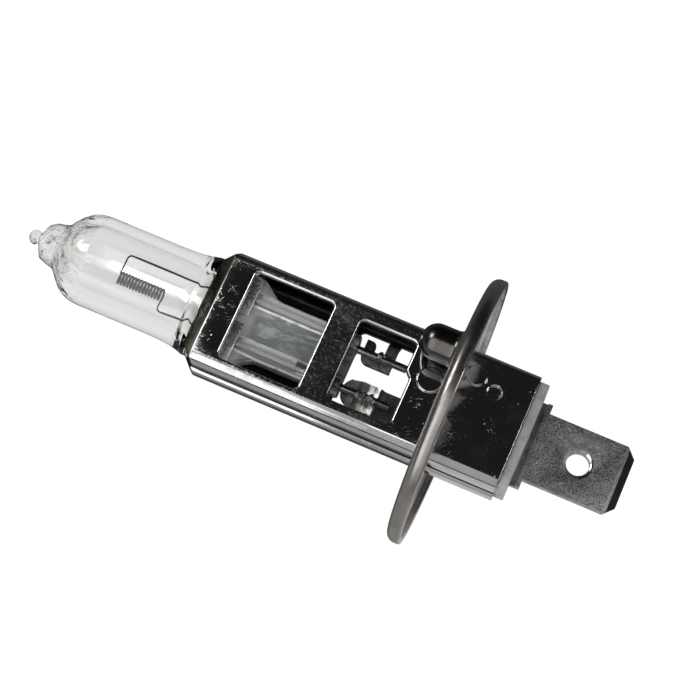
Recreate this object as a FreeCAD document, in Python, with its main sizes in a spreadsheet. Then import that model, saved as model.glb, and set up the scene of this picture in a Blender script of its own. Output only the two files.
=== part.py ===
import FreeCAD, Part
import os
import Sketcher
from FreeCAD import Placement, Rotation, Vector

# Single-filament halogen headlamp bulb with a prefocus flange and one blade terminal.
# The X axis is the lamp axis, running from the glass tip (-X) to the blade tip (+X).
# The origin is on the lamp axis in the front face of the flange, and +Z is the normal
# of the windowed faces of the metal sleeve.  All sizes are in millimetres.

SIZES = {
    # glass capsule
    "capsule_shift": 0.2,        # capsule axis above the lamp axis, along Y
    "tube_radius": 4.12,
    "tube_wall": 0.95,
    "tube_front": 34.3,          # lamp origin to the start of the front shoulder
    "shoulder_round": 1.2,
    "tube_back": 24.7,           # lamp origin to the start of the pressed end
    "nipple_root": 35.8,
    "nipple_root_radius": 2.0,
    "nipple_nose": 37.4,
    "nipple_nose_radius": 1.6,
    "tip_knob_end": 38.85,
    "tip_knob_radius": 0.62,
    "cavity_shoulder": 33.9,
    "cavity_nose": 36.9,
    "cavity_nose_radius": 0.9,
    "cavity_end": 24.7,
    "cavity_back": 23.1,
    "cavity_back_radius": 1.9,
    "press_neck": 23.5,
    "press_neck_width": 8.7,
    "press_neck_thickness": 6.2,
    "flare_front": 22.3,
    "flare_back": 19.2,
    "flare_clearance": 0.1,      # pressed glass to the sleeve's inner faces
    "flare_taper": 0.25,         # half thickness lost from the flare's front to its back
    "foil_cover": 0.145,         # glass outside the foils' edges
    "pinch_web": 1.9,
    "pinch_start": 16.2,
    "pinch_end": 8.55,
    "ridge_spacing": 4.3,
    "ridge_radius": 0.62,
    "ridge_gap": 0.33,           # ridge crests to the shallower half shell's inner face
    "ridge_start": 18.4,
    # filament, foils and leads
    "filament_drop": 0.3,        # coil axis below the lamp axis, along Y
    "filament_front": 30.05,
    "coil_pitch": 0.295,
    "coil_turns": 14.5,
    "coil_radius": 0.54,
    "wire_radius": 0.085,
    "overwind_wire": 0.055,
    "long_overwind_front": 29.4,
    "short_overwind_front": 25.2,
    "overwind_back": 19.4,
    "leg_bend": 0.35,
    "lead_spacing": 3.75,
    "lead_mid": 0.12,
    "foil_front": 18.4,
    "foil_back": 11.6,
    "foil_width": 1.7,
    "foil_sheet": 0.1,
    "pin_radius": 0.35,
    "pin_overlap": 1.1,
    "pin_back": 3.9,
    # sleeve of two half shells
    "sleeve_half_width": 5.45,
    "sleeve_sheet": 0.45,
    "sleeve_bend": 1.0,
    "sleeve_front": 22.1,
    "sleeve_back": 7.1,
    "front_depth": 2.6,
    "front_edge": 1.1,
    "rear_depth": 2.3,
    "rear_edge": 0.35,
    "rim_roll": 0.36,            # rolled outer edge of the rear half's rim
    "lip_length": 1.05,
    "lip_drop": 0.5,
    "lip_corner": 1.35,
    "glass_window_front": 18.9,
    "glass_window_back": 11.6,
    "glass_window_margin": 1.25,  # window edge to the sleeve's side
    "lead_window_front": 8.93,
    "lead_window_back": 3.2,
    "lead_window_margin": 1.65,
    "lead_window_jog": 0.55,
    "lead_window_jog_at": 0.55,
    "window_corner": 0.45,
    "window_roll": 0.24,         # rolled-over outer edge of a punched window
    "rear_window_margin": 1.15,
    "emboss_radius": 1.15,
    "emboss_at": 1.53,
    "emboss_across": 1.13,
    "weld_radius": 0.95,
    "weld_at": 2.0,
    "weld_across": 3.1,
    "dimple_at": 3.9,
    "dimple_across": 2.3,
    "emboss_height": 0.15,
    "dimple_radius": 0.6,
    "dimple_depth": 0.25,
    "spring_sheet": 0.25,
    "spring_side_gap": 0.7,
    "spring_foot": 20.3,
    "spring_knee": 19.5,
    "spring_toe": 18.1,
    "spring_slot": 0.8,
    # flange
    "flange_radius": 12.15,
    "flange_depth": 1.4,
    "flange_sheet": 0.6,
    "flange_bend": 0.85,
    "flange_edge": 0.2,
    "flange_clearance": 0.05,
    "boss_radius": 1.6,
    "boss_length": 3.55,
    "boss_wall": 0.5,
    "boss_dome": 1.45,           # rounding of the boss's closed end
    "boss_root": 0.75,           # rounding where the boss leaves the flange
    "boss_across": 3.7,          # boss centre from the lamp axis along Y
    "boss_gap": 0.8,             # boss to the sleeve's windowed face
    # terminal end
    "insulator_head": 0.9,
    "head_inset": 0.5,          # head inside the sleeve's outline, across
    "head_step": 0.4,            # and along Z
    "plug_front": 1.6,
    "plug_clearance": 0.04,
    "blade_sheet": 0.8,
    "blade_half_width": 3.15,
    "blade_length": 8.1,
    "blade_corner": 0.85,
    "blade_bevel": 0.95,
    "blade_bevel_depth": 0.22,
    "blade_hole_radius": 1.02,
    "countersink_width": 0.3,
    "countersink_depth": 0.11,
    "blade_hole_at": 3.8,        # hole centre from the shoulder
    "shoulder_half_width": 3.97,
    "shoulder_length": 0.9,
    "shoulder_groove": 0.45,     # length of the groove beside the insulator
    "shoulder_groove_depth": 0.3,
    "neck_half_width": 2.6,
    "anchor_half_width": 3.7,
    "anchor_front": 2.4,
    "anchor_length": 1.3,
    # contact strips
    "strip_sheet": 0.4,
    "strip_front": 8.4,
    "strip_width": 2.6,
    "strip_inner_edge": 1.4,     # edge towards the lamp axis, from the lower lead
    "strip_drop": 0.4,
    "strip_ramp": 0.4,
    "strip_step_front": 5.2,
    "strip_step_back": -0.2,
    "strip_back": 4.4,
    "strip_nose": 1.2,
    "tab_front": 8.05,
    "tab_back": 5.15,
    "tab_corner": 0.8,
    "tab_inner_edge": 0.92,      # edge towards the lamp axis, from the upper lead
    "tab_outer_edge": 0.45,
    "tab_wing_back": 7.1,
    "tab_wing_edge": 1.35,       # wing's outer edge, from the upper lead
    "tab_wing_corner": 0.5,
    "tab_arm_front": 6.2,
    "tab_arm_knee": 1.55,        # where the arm bends down, from the upper lead
    "tab_foot": 0.14,            # foot's hold on the sheet beside the rear window
}

doc = FreeCAD.newDocument("HeadlampBulb")
sheet = doc.addObject("Spreadsheet::Sheet", "Sizes")
for row, (word, number) in enumerate(SIZES.items(), start=1):
    sheet.set("A%d" % row, word)
    sheet.set("B%d" % row, str(number))
    sheet.setAlias("B%d" % row, word)
doc.recompute()


class Dim:
    """A length that knows its number and the sheet expression behind it."""

    def __init__(self, value, text):
        self.value = float(value)
        self.text = text

    @staticmethod
    def of(item):
        return item if isinstance(item, Dim) else Dim(item, "%.6g" % item)

    def __add__(self, other):
        other = Dim.of(other)
        return Dim(self.value + other.value, "(%s + %s)" % (self.text, other.text))

    def __sub__(self, other):
        other = Dim.of(other)
        return Dim(self.value - other.value, "(%s - %s)" % (self.text, other.text))

    def __mul__(self, other):
        other = Dim.of(other)
        return Dim(self.value * other.value, "(%s * %s)" % (self.text, other.text))

    def __truediv__(self, other):
        other = Dim.of(other)
        return Dim(self.value / other.value, "(%s / %s)" % (self.text, other.text))

    def __neg__(self):
        return self * -1.0

    def __radd__(self, other):
        return Dim.of(other) + self

    def __rsub__(self, other):
        return Dim.of(other) - self

    def __rmul__(self, other):
        return self * other


def least(a, b):
    """The smaller of two lengths."""
    return Dim(min(a.value, b.value), "min(%s; %s)" % (a.text, b.text))


class Sizes:
    """Every driving size as a Dim attribute."""

    def __init__(self, table):
        for word, number in table.items():
            setattr(self, word, Dim(number, "Sizes.%s" % word))


S = Sizes(SIZES)


def bind(obj, path, dim):
    obj.setExpression(path, Dim.of(dim).text)


def bind_place(obj, x=0, y=0, z=0):
    for axis, dim in zip("xyz", (x, y, z)):
        bind(obj, "Placement.Base.%s" % axis, dim)


# ---- sketches and part design features -------------------------------------------------

def new_body(label):
    body = doc.addObject("PartDesign::Body", label)
    body.Label = label
    return body


def new_sketch(body, plane, name, offset=0):
    """Sketch on one of the body's origin planes, moved along its normal by offset."""
    sketch = body.newObject("Sketcher::SketchObject", name)
    face = [f for f in body.Origin.OriginFeatures if f.Role == plane][0]
    sketch.AttachmentSupport = [(face, "")]
    sketch.MapMode = "FlatFace"
    bind(sketch, "AttachmentOffset.Base.z", offset)
    return sketch


def hold_point(sketch, geo, pos, x, y):
    for kind, line, dim in (("DistanceX", -2, Dim.of(x)), ("DistanceY", -1, Dim.of(y))):
        if dim.value == 0.0:
            sketch.addConstraint(Sketcher.Constraint("PointOnObject", geo, pos, line))
            continue
        index = sketch.addConstraint(Sketcher.Constraint(kind, -1, 1, geo, pos, dim.value))
        sketch.setExpression("Constraints[%d]" % index, dim.text)


def polygon(sketch, points):
    """Closed outline whose corners are each held from the sketch origin."""
    points = [(Dim.of(x), Dim.of(y)) for x, y in points]
    spots = [Vector(x.value, y.value, 0) for x, y in points]
    first = sketch.GeometryCount
    count = len(spots)
    for i in range(count):
        sketch.addGeometry(Part.LineSegment(spots[i], spots[(i + 1) % count]), False)
    for i in range(count):
        following = first + (i + 1) % count
        sketch.addConstraint(Sketcher.Constraint("Coincident", first + i, 2, following, 1))
    for i in range(count):
        hold_point(sketch, first + i, 1, points[i][0], points[i][1])
    return sketch


def rectangle(sketch, x0, x1, y0, y1):
    return polygon(sketch, [(x0, y0), (x1, y0), (x1, y1), (x0, y1)])


def circle(sketch, x, y, radius):
    x, y, radius = Dim.of(x), Dim.of(y), Dim.of(radius)
    geo = sketch.addGeometry(
        Part.Circle(Vector(x.value, y.value, 0), Vector(0, 0, 1), radius.value), False)
    hold_point(sketch, geo, 3, x, y)
    index = sketch.addConstraint(Sketcher.Constraint("Radius", geo, radius.value))
    sketch.setExpression("Constraints[%d]" % index, radius.text)
    return sketch


def pad(body, sketch, length, midplane=False, reverse=False):
    feature = body.newObject("PartDesign::Pad", sketch.Name + "_pad")
    feature.Profile = sketch
    feature.Midplane = midplane
    feature.Reversed = reverse
    bind(feature, "Length", length)
    doc.recompute()
    return feature


def pocket(body, sketch, length):
    """Pocket cut evenly to both sides of its sketch; it has to remove material."""
    before = body.Shape.Volume
    feature = body.newObject("PartDesign::Pocket", sketch.Name + "_pocket")
    feature.Profile = sketch
    feature.Midplane = True
    bind(feature, "Length", length)
    doc.recompute()
    if body.Shape.Volume >= before - 1e-6:
        raise RuntimeError("%s cut nothing" % feature.Name)
    return feature


def revolve(body, sketch):
    feature = body.newObject("PartDesign::Revolution", sketch.Name + "_turn")
    feature.Profile = sketch
    feature.ReferenceAxis = (sketch, ["H_Axis"])
    feature.Angle = 360.0
    doc.recompute()
    return feature


def fillet(body, radius, test):
    base = body.Tip
    names = ["Edge%d" % (i + 1) for i, e in enumerate(base.Shape.Edges) if test(e)]
    if not names:
        raise RuntimeError("no edge to round on %s" % body.Label)
    feature = body.newObject("PartDesign::Fillet", body.Label + "_fillet")
    feature.Base = (base, names)
    bind(feature, "Radius", radius)
    doc.recompute()
    return feature


def chamfer(body, wide, deep, test):
    """Uneven chamfer, wide along the flat face and deep into it."""
    base = body.Tip
    names = ["Edge%d" % (i + 1) for i, e in enumerate(base.Shape.Edges) if test(e)]
    feature = body.newObject("PartDesign::Chamfer", body.Label + "_chamfer")
    feature.Base = (base, names)
    feature.ChamferType = "Two distances"
    feature.FlipDirection = True
    bind(feature, "Size", wide)
    bind(feature, "Size2", deep)
    doc.recompute()
    return feature


def near(a, b):
    return abs(a - Dim.of(b).value) < 1e-4


def runs_along(edge, axis):
    """True for a straight edge that runs along the named axis."""
    if edge.Curve.TypeId != "Part::GeomLine":
        return False
    direction = edge.Vertexes[1].Point - edge.Vertexes[0].Point
    direction.normalize()
    return abs(getattr(direction, axis)) > 0.999


def middle(edge):
    return edge.valueAt((edge.FirstParameter + edge.LastParameter) / 2)


# ---- primitives and booleans -----------------------------------------------------------

ALONG_X = Rotation(Vector(0, 1, 0), 90)


def box(name, x0, x1, y0, y1, z0, z1):
    solid = doc.addObject("Part::Box", name)
    bind(solid, "Length", x1 - x0)
    bind(solid, "Width", y1 - y0)
    bind(solid, "Height", z1 - z0)
    bind_place(solid, x0, y0, z0)
    return solid


def rod(name, x0, x1, radius, y=0, z=0):
    """Cylinder along X from x0 to x1."""
    solid = doc.addObject("Part::Cylinder", name)
    solid.Placement = Placement(Vector(), ALONG_X)
    bind(solid, "Height", x1 - x0)
    bind(solid, "Radius", radius)
    bind_place(solid, x0, y, z)
    return solid


def ball(name, radius, x, y, z):
    solid = doc.addObject("Part::Sphere", name)
    bind(solid, "Radius", radius)
    bind_place(solid, x, y, z)
    return solid


def joined(name, pieces):
    solid = doc.addObject("Part::MultiFuse", name)
    solid.Shapes = pieces
    solid.Refine = True
    return solid


def cut(name, base, tool):
    solid = doc.addObject("Part::Cut", name)
    solid.Base = base
    solid.Tool = tool
    return solid


# ---- shared places ---------------------------------------------------------------------

UPPER_LEAD_Y = S.lead_mid + S.lead_spacing / 2
LOWER_LEAD_Y = S.lead_mid - S.lead_spacing / 2
LEAD_Y = {"upper": UPPER_LEAD_Y, "lower": LOWER_LEAD_Y}
COIL_LENGTH = S.coil_pitch * S.coil_turns
COIL_Y = -S.filament_drop
COIL_BACK = COIL_LENGTH - S.filament_front
OVERWIND_RADIUS = S.wire_radius + S.overwind_wire
INNER_HALF_WIDTH = S.sleeve_half_width - S.sleeve_sheet
FLARE_HALF_WIDTH = INNER_HALF_WIDTH - S.capsule_shift - S.flare_clearance
INNER_DEPTH = least(S.front_depth, S.rear_depth) - S.sleeve_sheet
FLARE_HALF_THICKNESS = INNER_DEPTH - S.lip_drop - S.flare_clearance
RIDGE_CREST = INNER_DEPTH - S.ridge_gap
PINCH_HALF_WIDTH = (S.lead_spacing / 2 + S.foil_width / 2 + S.capsule_shift - S.lead_mid
                    + S.foil_cover)
BLADE_BOTTOM = -S.pin_radius
BLADE_TOP = S.blade_sheet - S.pin_radius
HEAD_BACK = S.sleeve_back + S.insulator_head
SHOULDER_BACK = HEAD_BACK + S.shoulder_length


# ---- filament, foils and lead pins -----------------------------------------------------

def leg(name, front, y, upward):
    """Cross run, quarter bend and back run of one filament leg, as primitives."""
    side = 1.0 if upward else -1.0
    run = rod(name + "_run", front + S.leg_bend, -S.foil_front, S.wire_radius, y=y)
    cross_start = COIL_Y + side * S.coil_radius
    cross_end = y - side * S.leg_bend
    cross = doc.addObject("Part::Cylinder", name + "_cross")
    cross.Placement = Placement(Vector(), Rotation(Vector(1, 0, 0), -90.0 * side))
    bind(cross, "Radius", S.wire_radius)
    bind(cross, "Height", (cross_end - cross_start) * side)
    bind_place(cross, front, cross_start, 0)
    bend = doc.addObject("Part::Torus", name + "_bend")
    bend.Placement = Placement(
        Vector(), Rotation(Vector(0, 0, 1), 90.0 if upward else 180.0))
    bend.Angle3 = 90.0
    bind(bend, "Radius1", S.leg_bend)
    bind(bend, "Radius2", S.wire_radius)
    bind_place(bend, front + S.leg_bend, cross_end, 0)
    root = ball(name + "_root", S.wire_radius, front, cross_start, 0)
    return [run, cross, bend, root]


def make_filament():
    """Close-wound coil with one leg from each end, all one tungsten wire."""
    helix = doc.addObject("Part::Helix", "coil_path")
    bind(helix, "Pitch", S.coil_pitch)
    bind(helix, "Height", COIL_LENGTH)
    bind(helix, "Radius", S.coil_radius)
    section = doc.addObject("Part::Circle", "coil_section")
    section.Placement = Placement(Vector(), Rotation(Vector(1, 0, 0), 90))
    bind(section, "Radius", S.wire_radius)
    bind(section, "Placement.Base.x", S.coil_radius)
    doc.recompute()
    turns = doc.addObject("Part::Sweep", "coil_turns")
    turns.Sections = [section]
    turns.Spine = (helix, ["Edge1"])
    turns.Solid = True
    turns.Frenet = True
    turns.Placement = Placement(
        Vector(), Rotation(Vector(0, 1, 0), 90) * Rotation(Vector(0, 0, 1), 90))
    bind_place(turns, -S.filament_front, COIL_Y, 0)
    doc.recompute()
    legs = leg("long_leg", -S.filament_front, UPPER_LEAD_Y, True)
    legs += leg("short_leg", COIL_BACK, LOWER_LEAD_Y, False)
    return joined("filament_coil", [turns] + legs)


def make_overwind(name, front, y):
    """Closed sleeve that the fine wire wound round a leg fills."""
    outer = rod(name + "_outer", -front, -S.overwind_back, OVERWIND_RADIUS, y=y)
    inner = rod(name + "_inner", -front, -S.overwind_back, S.wire_radius, y=y)
    return cut(name, outer, inner)


def make_foil(name, y):
    half = S.foil_sheet / 2
    return box(name, -S.foil_front, -S.foil_back,
               y - S.foil_width / 2, y + S.foil_width / 2, -half, half)


def make_lead_pin(name, y):
    """Round pin whose flattened front end lies on the foil."""
    front = -S.foil_back - S.pin_overlap
    full = rod(name + "_round", front, -S.pin_back, S.pin_radius, y=y)
    flat = box(name + "_flat", front, -S.foil_back, y - S.pin_radius, y + S.pin_radius,
               -S.pin_radius, S.foil_sheet / 2)
    return cut(name, full, flat)


# ---- quartz envelope -------------------------------------------------------------------

def press_section(name, at, half_width, half_thickness):
    """Elliptical section of the pressed glass, across the lamp axis."""
    oval = doc.addObject("Part::Ellipse", name)
    oval.Placement = Placement(Vector(), Rotation(Vector(1, 1, 1), 120))
    bind(oval, "MajorRadius", half_width)
    bind(oval, "MinorRadius", half_thickness)
    bind_place(oval, -at, S.capsule_shift, 0)
    return oval


def press_loft(name, sections, ruled):
    """Glass between press sections: a smooth blend, or straight runs that never bulge."""
    loft = doc.addObject("Part::Loft", name)
    loft.Sections = sections
    loft.Solid = True
    loft.Ruled = ruled
    return loft


def make_envelope(inserts):
    """Hollow capsule with a drawn tip and a pressed foil seal, round its inserts."""
    tube = new_body("capsule_tube")
    bind(tube, "Placement.Base.y", S.capsule_shift)
    outline = polygon(new_sketch(tube, "XY_Plane", "tube_outline"), [
        (-S.tube_back, 0), (-S.tube_back, S.tube_radius), (-S.tube_front, S.tube_radius),
        (-S.nipple_root, S.nipple_root_radius), (-S.nipple_nose, S.nipple_nose_radius),
        (S.tip_knob_radius - S.tip_knob_end, S.tip_knob_radius * 0.7),
        (S.tip_knob_radius - S.tip_knob_end, 0)])
    revolve(tube, outline)
    fillet(tube, S.shoulder_round, lambda e: near(middle(e).x, -S.tube_front)
           and near(e.BoundBox.XLength, 0))
    fillet(tube, S.shoulder_round * 0.4, lambda e: near(middle(e).x, -S.nipple_nose)
           and near(e.BoundBox.XLength, 0))
    cavity = new_body("capsule_cavity")
    bind(cavity, "Placement.Base.y", S.capsule_shift)
    bore = S.tube_radius - S.tube_wall
    hollow = polygon(new_sketch(cavity, "XY_Plane", "cavity_outline"), [
        (-S.cavity_back, 0), (-S.cavity_back, S.cavity_back_radius), (-S.cavity_end, bore),
        (-S.cavity_shoulder, bore), (-S.nipple_root, S.cavity_nose_radius),
        (-S.cavity_nose, S.cavity_nose_radius * 0.6), (-S.cavity_nose, 0)])
    revolve(cavity, hollow)
    fillet(cavity, S.shoulder_round, lambda e: near(e.BoundBox.XLength, 0) and (
        near(middle(e).x, -S.cavity_shoulder) or near(middle(e).x, -S.cavity_end)))
    tube_end = press_section("press_tube_end", S.tube_back, S.tube_radius, S.tube_radius)
    neck = press_section("press_neck_section", S.press_neck, S.press_neck_width / 2,
                         S.press_neck_thickness / 2)
    flare_front = press_section("press_flare_front", S.flare_front, FLARE_HALF_WIDTH,
                                FLARE_HALF_THICKNESS)
    flare_back = press_section("press_flare_back", S.flare_back, FLARE_HALF_WIDTH,
                               FLARE_HALF_THICKNESS - S.flare_taper)
    web_start = press_section("press_web_start", S.pinch_start, PINCH_HALF_WIDTH,
                              S.pinch_web / 2)
    shoulder = press_loft("press_shoulder", [tube_end, neck, flare_front], ruled=False)
    flare = press_loft("press_flare", [flare_front, flare_back, web_start], ruled=True)
    web = box("pinch_web_block", -S.pinch_start, -S.pinch_end,
              S.capsule_shift - PINCH_HALF_WIDTH, S.capsule_shift + PINCH_HALF_WIDTH,
              -(S.pinch_web / 2), S.pinch_web / 2)
    pieces = [tube, shoulder, flare, web]
    for across in (-1, 1):
        for up in (-1, 1):
            y = S.capsule_shift + across * S.ridge_spacing / 2
            z = up * (RIDGE_CREST - S.ridge_radius)
            tag = "%s%s" % ("ab"[across > 0], "cd"[up > 0])
            pieces.append(rod("ridge_" + tag, -S.ridge_start, -S.pinch_end,
                              S.ridge_radius, y=y, z=z))
            pieces.append(ball("ridge_end_" + tag, S.ridge_radius, -S.ridge_start, y, z))
    pieces.append(ball("tip_knob", S.tip_knob_radius,
                       S.tip_knob_radius - S.tip_knob_end, S.capsule_shift, 0))
    glass = joined("capsule_solid", pieces)
    tools = [cavity] + list(inserts)
    for side, y in LEAD_Y.items():
        tools.append(rod(side + "_leg_bore", -S.cavity_end, -S.overwind_back,
                         OVERWIND_RADIUS, y=y))
        tools.append(rod(side + "_leg_seat", -S.overwind_back, -S.foil_front,
                         S.wire_radius, y=y))
    return cut("quartz_envelope", glass, joined("capsule_voids", tools))


# ---- metal sleeve ----------------------------------------------------------------------

def make_half_shell(label, up, depth, edge):
    """Drawn tray, open towards the lamp axis; up is +1 for the front half, -1 for the rear."""
    body = new_body(label)
    ramp = S.lip_length - S.sleeve_front
    face = up * depth
    floor = up * (depth - S.sleeve_sheet)
    rim = up * edge
    outline = rectangle(new_sketch(body, "XZ_Plane", label + "_side"),
                        -S.sleeve_front, S.sleeve_back, rim, face)
    pad(body, outline, S.sleeve_half_width * 2, midplane=True)
    fillet(body, S.sleeve_bend, lambda e: runs_along(e, "x") and near(middle(e).z, face))
    lip = polygon(new_sketch(body, "XZ_Plane", label + "_lip"), [
        (-S.sleeve_front - 0.1, face), (ramp, face),
        (-S.sleeve_front, up * (depth - S.lip_drop)),
        (-S.sleeve_front - 0.1, up * (depth - S.lip_drop))])
    pocket(body, lip, S.sleeve_half_width * 2 + 1)
    corners = new_sketch(body, "XY_Plane", label + "_corners")
    for side in (-1, 1):
        wall = side * S.sleeve_half_width
        polygon(corners, [
            (-S.sleeve_front - 0.1, side * (S.sleeve_half_width - S.lip_corner)),
            (-S.sleeve_front, side * (S.sleeve_half_width - S.lip_corner)),
            (S.lip_corner - S.sleeve_front, wall),
            (S.lip_corner - S.sleeve_front, wall + side * 0.1),
            (-S.sleeve_front - 0.1, wall + side * 0.1)])
    pocket(body, corners, depth * 3)
    inside = polygon(new_sketch(body, "XZ_Plane", label + "_inside"), [
        (-S.sleeve_front - 0.2, rim - up * 0.2), (S.sleeve_back + 0.2, rim - up * 0.2),
        (S.sleeve_back + 0.2, floor), (ramp, floor),
        (-S.sleeve_front, floor - up * S.lip_drop),
        (-S.sleeve_front - 0.2, floor - up * S.lip_drop)])
    pocket(body, inside, INNER_HALF_WIDTH * 2)
    fillet(body, S.sleeve_bend - S.sleeve_sheet,
           lambda e: runs_along(e, "x") and near(middle(e).z, floor)
           and near(abs(middle(e).y), INNER_HALF_WIDTH))
    return body


def open_window(body, name, up, depth, outline):
    """Window punched through the face of a half shell, with rounded corners."""
    level = up * (depth - S.sleeve_sheet / 2)
    sketch = polygon(new_sketch(body, "XY_Plane", name, offset=level), outline)
    pocket(body, sketch, S.sleeve_sheet * 2)
    corners = [(x.value, y.value) for x, y in outline]
    fillet(body, S.window_corner, lambda e: runs_along(e, "z") and any(
        abs(middle(e).x - x) < 1e-3 and abs(middle(e).y - y) < 1e-3 for x, y in corners))


def box_outline(x0, x1, half):
    return [(x0, -half), (x1, -half), (x1, half), (x0, half)]


def make_front_shell():
    """Front half with its two windows, raised marks and dimple."""
    body = make_half_shell("front_half_shell", 1, S.front_depth, S.front_edge)

    def edge_gaps(edge):
        """Distances from an edge's middle to the ends and sides of the flat face."""
        return (middle(edge).x + (S.sleeve_front - S.lip_length).value,
                S.sleeve_back.value - middle(edge).x,
                (S.sleeve_half_width - S.sleeve_bend).value - abs(middle(edge).y))

    open_window(body, "glass_window", 1, S.front_depth, box_outline(
        -S.glass_window_front, -S.glass_window_back,
        S.sleeve_half_width - S.glass_window_margin))
    half = S.sleeve_half_width - S.lead_window_margin
    open_window(body, "lead_window", 1, S.front_depth, [
        (-S.lead_window_front, -half), (-S.lead_window_back, -half),
        (-S.lead_window_back, S.lead_window_jog_at),
        (-S.lead_window_back - S.lead_window_jog,
         S.lead_window_jog_at + S.lead_window_jog),
        (-S.lead_window_back - S.lead_window_jog, half), (-S.lead_window_front, half)])
    fillet(body, S.window_roll, lambda e: near(middle(e).z, S.front_depth)
           and min(edge_gaps(e)) > 0.01)
    for name, at, across, radius in (
            ("emboss", -S.emboss_at, S.emboss_across, S.emboss_radius),
            ("weld_button", S.weld_at, S.weld_across, S.weld_radius)):
        raised = circle(new_sketch(body, "XY_Plane", name, offset=S.front_depth),
                        at, across, radius)
        pad(body, raised, S.emboss_height)
        under = circle(new_sketch(body, "XY_Plane", name + "_under",
                                  offset=S.front_depth - S.sleeve_sheet),
                       at, across, radius - S.emboss_height)
        pocket(body, under, S.emboss_height * 2)
    dimple = circle(new_sketch(body, "XY_Plane", "dimple", offset=S.front_depth),
                    S.dimple_at, S.dimple_across, S.dimple_radius)
    pocket(body, dimple, S.dimple_depth * 2)
    crown = S.front_depth + S.emboss_height
    fillet(body, S.emboss_height * 0.9, lambda e: near(middle(e).z, crown)
           or (near(middle(e).z, S.front_depth)
               and near(e.BoundBox.XLength, S.dimple_radius * 2)))
    return body


def make_rear_shell():
    """Rear half with its window and the rolled outer edge of its rim."""
    body = make_half_shell("rear_half_shell", -1, S.rear_depth, S.rear_edge)
    fillet(body, S.rim_roll, lambda e: runs_along(e, "x") and near(middle(e).z, -S.rear_edge)
           and near(abs(middle(e).y), S.sleeve_half_width))
    open_window(body, "rear_lead_window", -1, S.rear_depth, box_outline(
        -S.lead_window_front, -S.lead_window_back,
        S.sleeve_half_width - S.rear_window_margin))
    return body


def make_pinch_spring(label, up, depth):
    """Bent leaf between a shell face and the glass ridges."""
    body = new_body(label)
    seat = up * (depth - S.sleeve_sheet)
    under = seat - up * S.spring_sheet
    toe = up * RIDGE_CREST
    outline = polygon(new_sketch(body, "XZ_Plane", label + "_side"), [
        (-S.spring_foot, seat), (-S.spring_foot, under), (-S.spring_knee, under),
        (-S.spring_toe, toe), (-S.spring_toe, toe + up * S.spring_sheet),
        (-S.spring_knee, seat)])
    pad(body, outline, (INNER_HALF_WIDTH - S.spring_side_gap) * 2, midplane=True)
    slot = rectangle(new_sketch(body, "XY_Plane", label + "_slot"),
                     -S.spring_knee, 0.2 - S.spring_toe,
                     -(S.spring_slot / 2), S.spring_slot / 2)
    pocket(body, slot, depth * 3)
    return body


# ---- flange ----------------------------------------------------------------------------

def make_flange():
    """Drawn pan whose rim turns back, with one hollow boss on its glass side.

    Its opening is relieved where the sleeve's raised marks slide through it.
    """
    body = new_body("flange_ring")
    rim = S.flange_radius - S.flange_sheet
    outline = polygon(new_sketch(body, "XY_Plane", "flange_outline"), [
        (0, 0), (0, S.flange_radius), (S.flange_depth, S.flange_radius),
        (S.flange_depth, rim), (S.flange_sheet, rim), (S.flange_sheet, 0)])
    revolve(body, outline)
    fillet(body, S.flange_bend, lambda e: near(middle(e).x, 0)
           and near(e.BoundBox.YLength, S.flange_radius * 2))
    fillet(body, S.flange_bend - S.flange_sheet, lambda e: near(
        middle(e).x, S.flange_sheet) and near(e.BoundBox.YLength, rim * 2))
    fillet(body, S.flange_edge, lambda e: near(middle(e).x, S.flange_depth)
           and near(e.BoundBox.XLength, 0))
    boss_up = S.front_depth + S.boss_gap + S.boss_radius
    spot = circle(new_sketch(body, "YZ_Plane", "boss_outline", offset=S.flange_sheet / 2),
                  S.boss_across, boss_up, S.boss_radius)
    pad(body, spot, S.boss_length + S.flange_sheet / 2, reverse=True)
    fillet(body, S.boss_dome, lambda e: near(middle(e).x, -S.boss_length))
    fillet(body, S.boss_root, lambda e: near(middle(e).x, 0)
           and near(e.BoundBox.YLength, S.boss_radius * 2))
    bore = circle(new_sketch(body, "YZ_Plane", "boss_bore", offset=S.flange_sheet),
                  S.boss_across, boss_up, S.boss_radius - S.boss_wall)
    pocket(body, bore, (S.boss_length + S.flange_sheet - S.boss_wall * 1.4) * 2)
    gap = S.flange_clearance
    opening = rectangle(new_sketch(body, "YZ_Plane", "sleeve_opening"),
                        -(S.sleeve_half_width + gap), S.sleeve_half_width + gap,
                        -(S.rear_depth + gap), S.front_depth + gap)
    pocket(body, opening, S.flange_depth * 3)
    fillet(body, S.sleeve_bend + gap, lambda e: runs_along(e, "x")
           and near(abs(middle(e).y), S.sleeve_half_width + gap))
    relief = rectangle(new_sketch(body, "YZ_Plane", "raised_mark_relief"),
                       S.emboss_across - S.emboss_radius - gap,
                       S.weld_across + S.weld_radius + gap,
                       S.front_edge, S.front_depth + S.emboss_height + gap)
    pocket(body, relief, S.flange_depth * 3)
    return body


# ---- terminal end ----------------------------------------------------------------------

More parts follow.
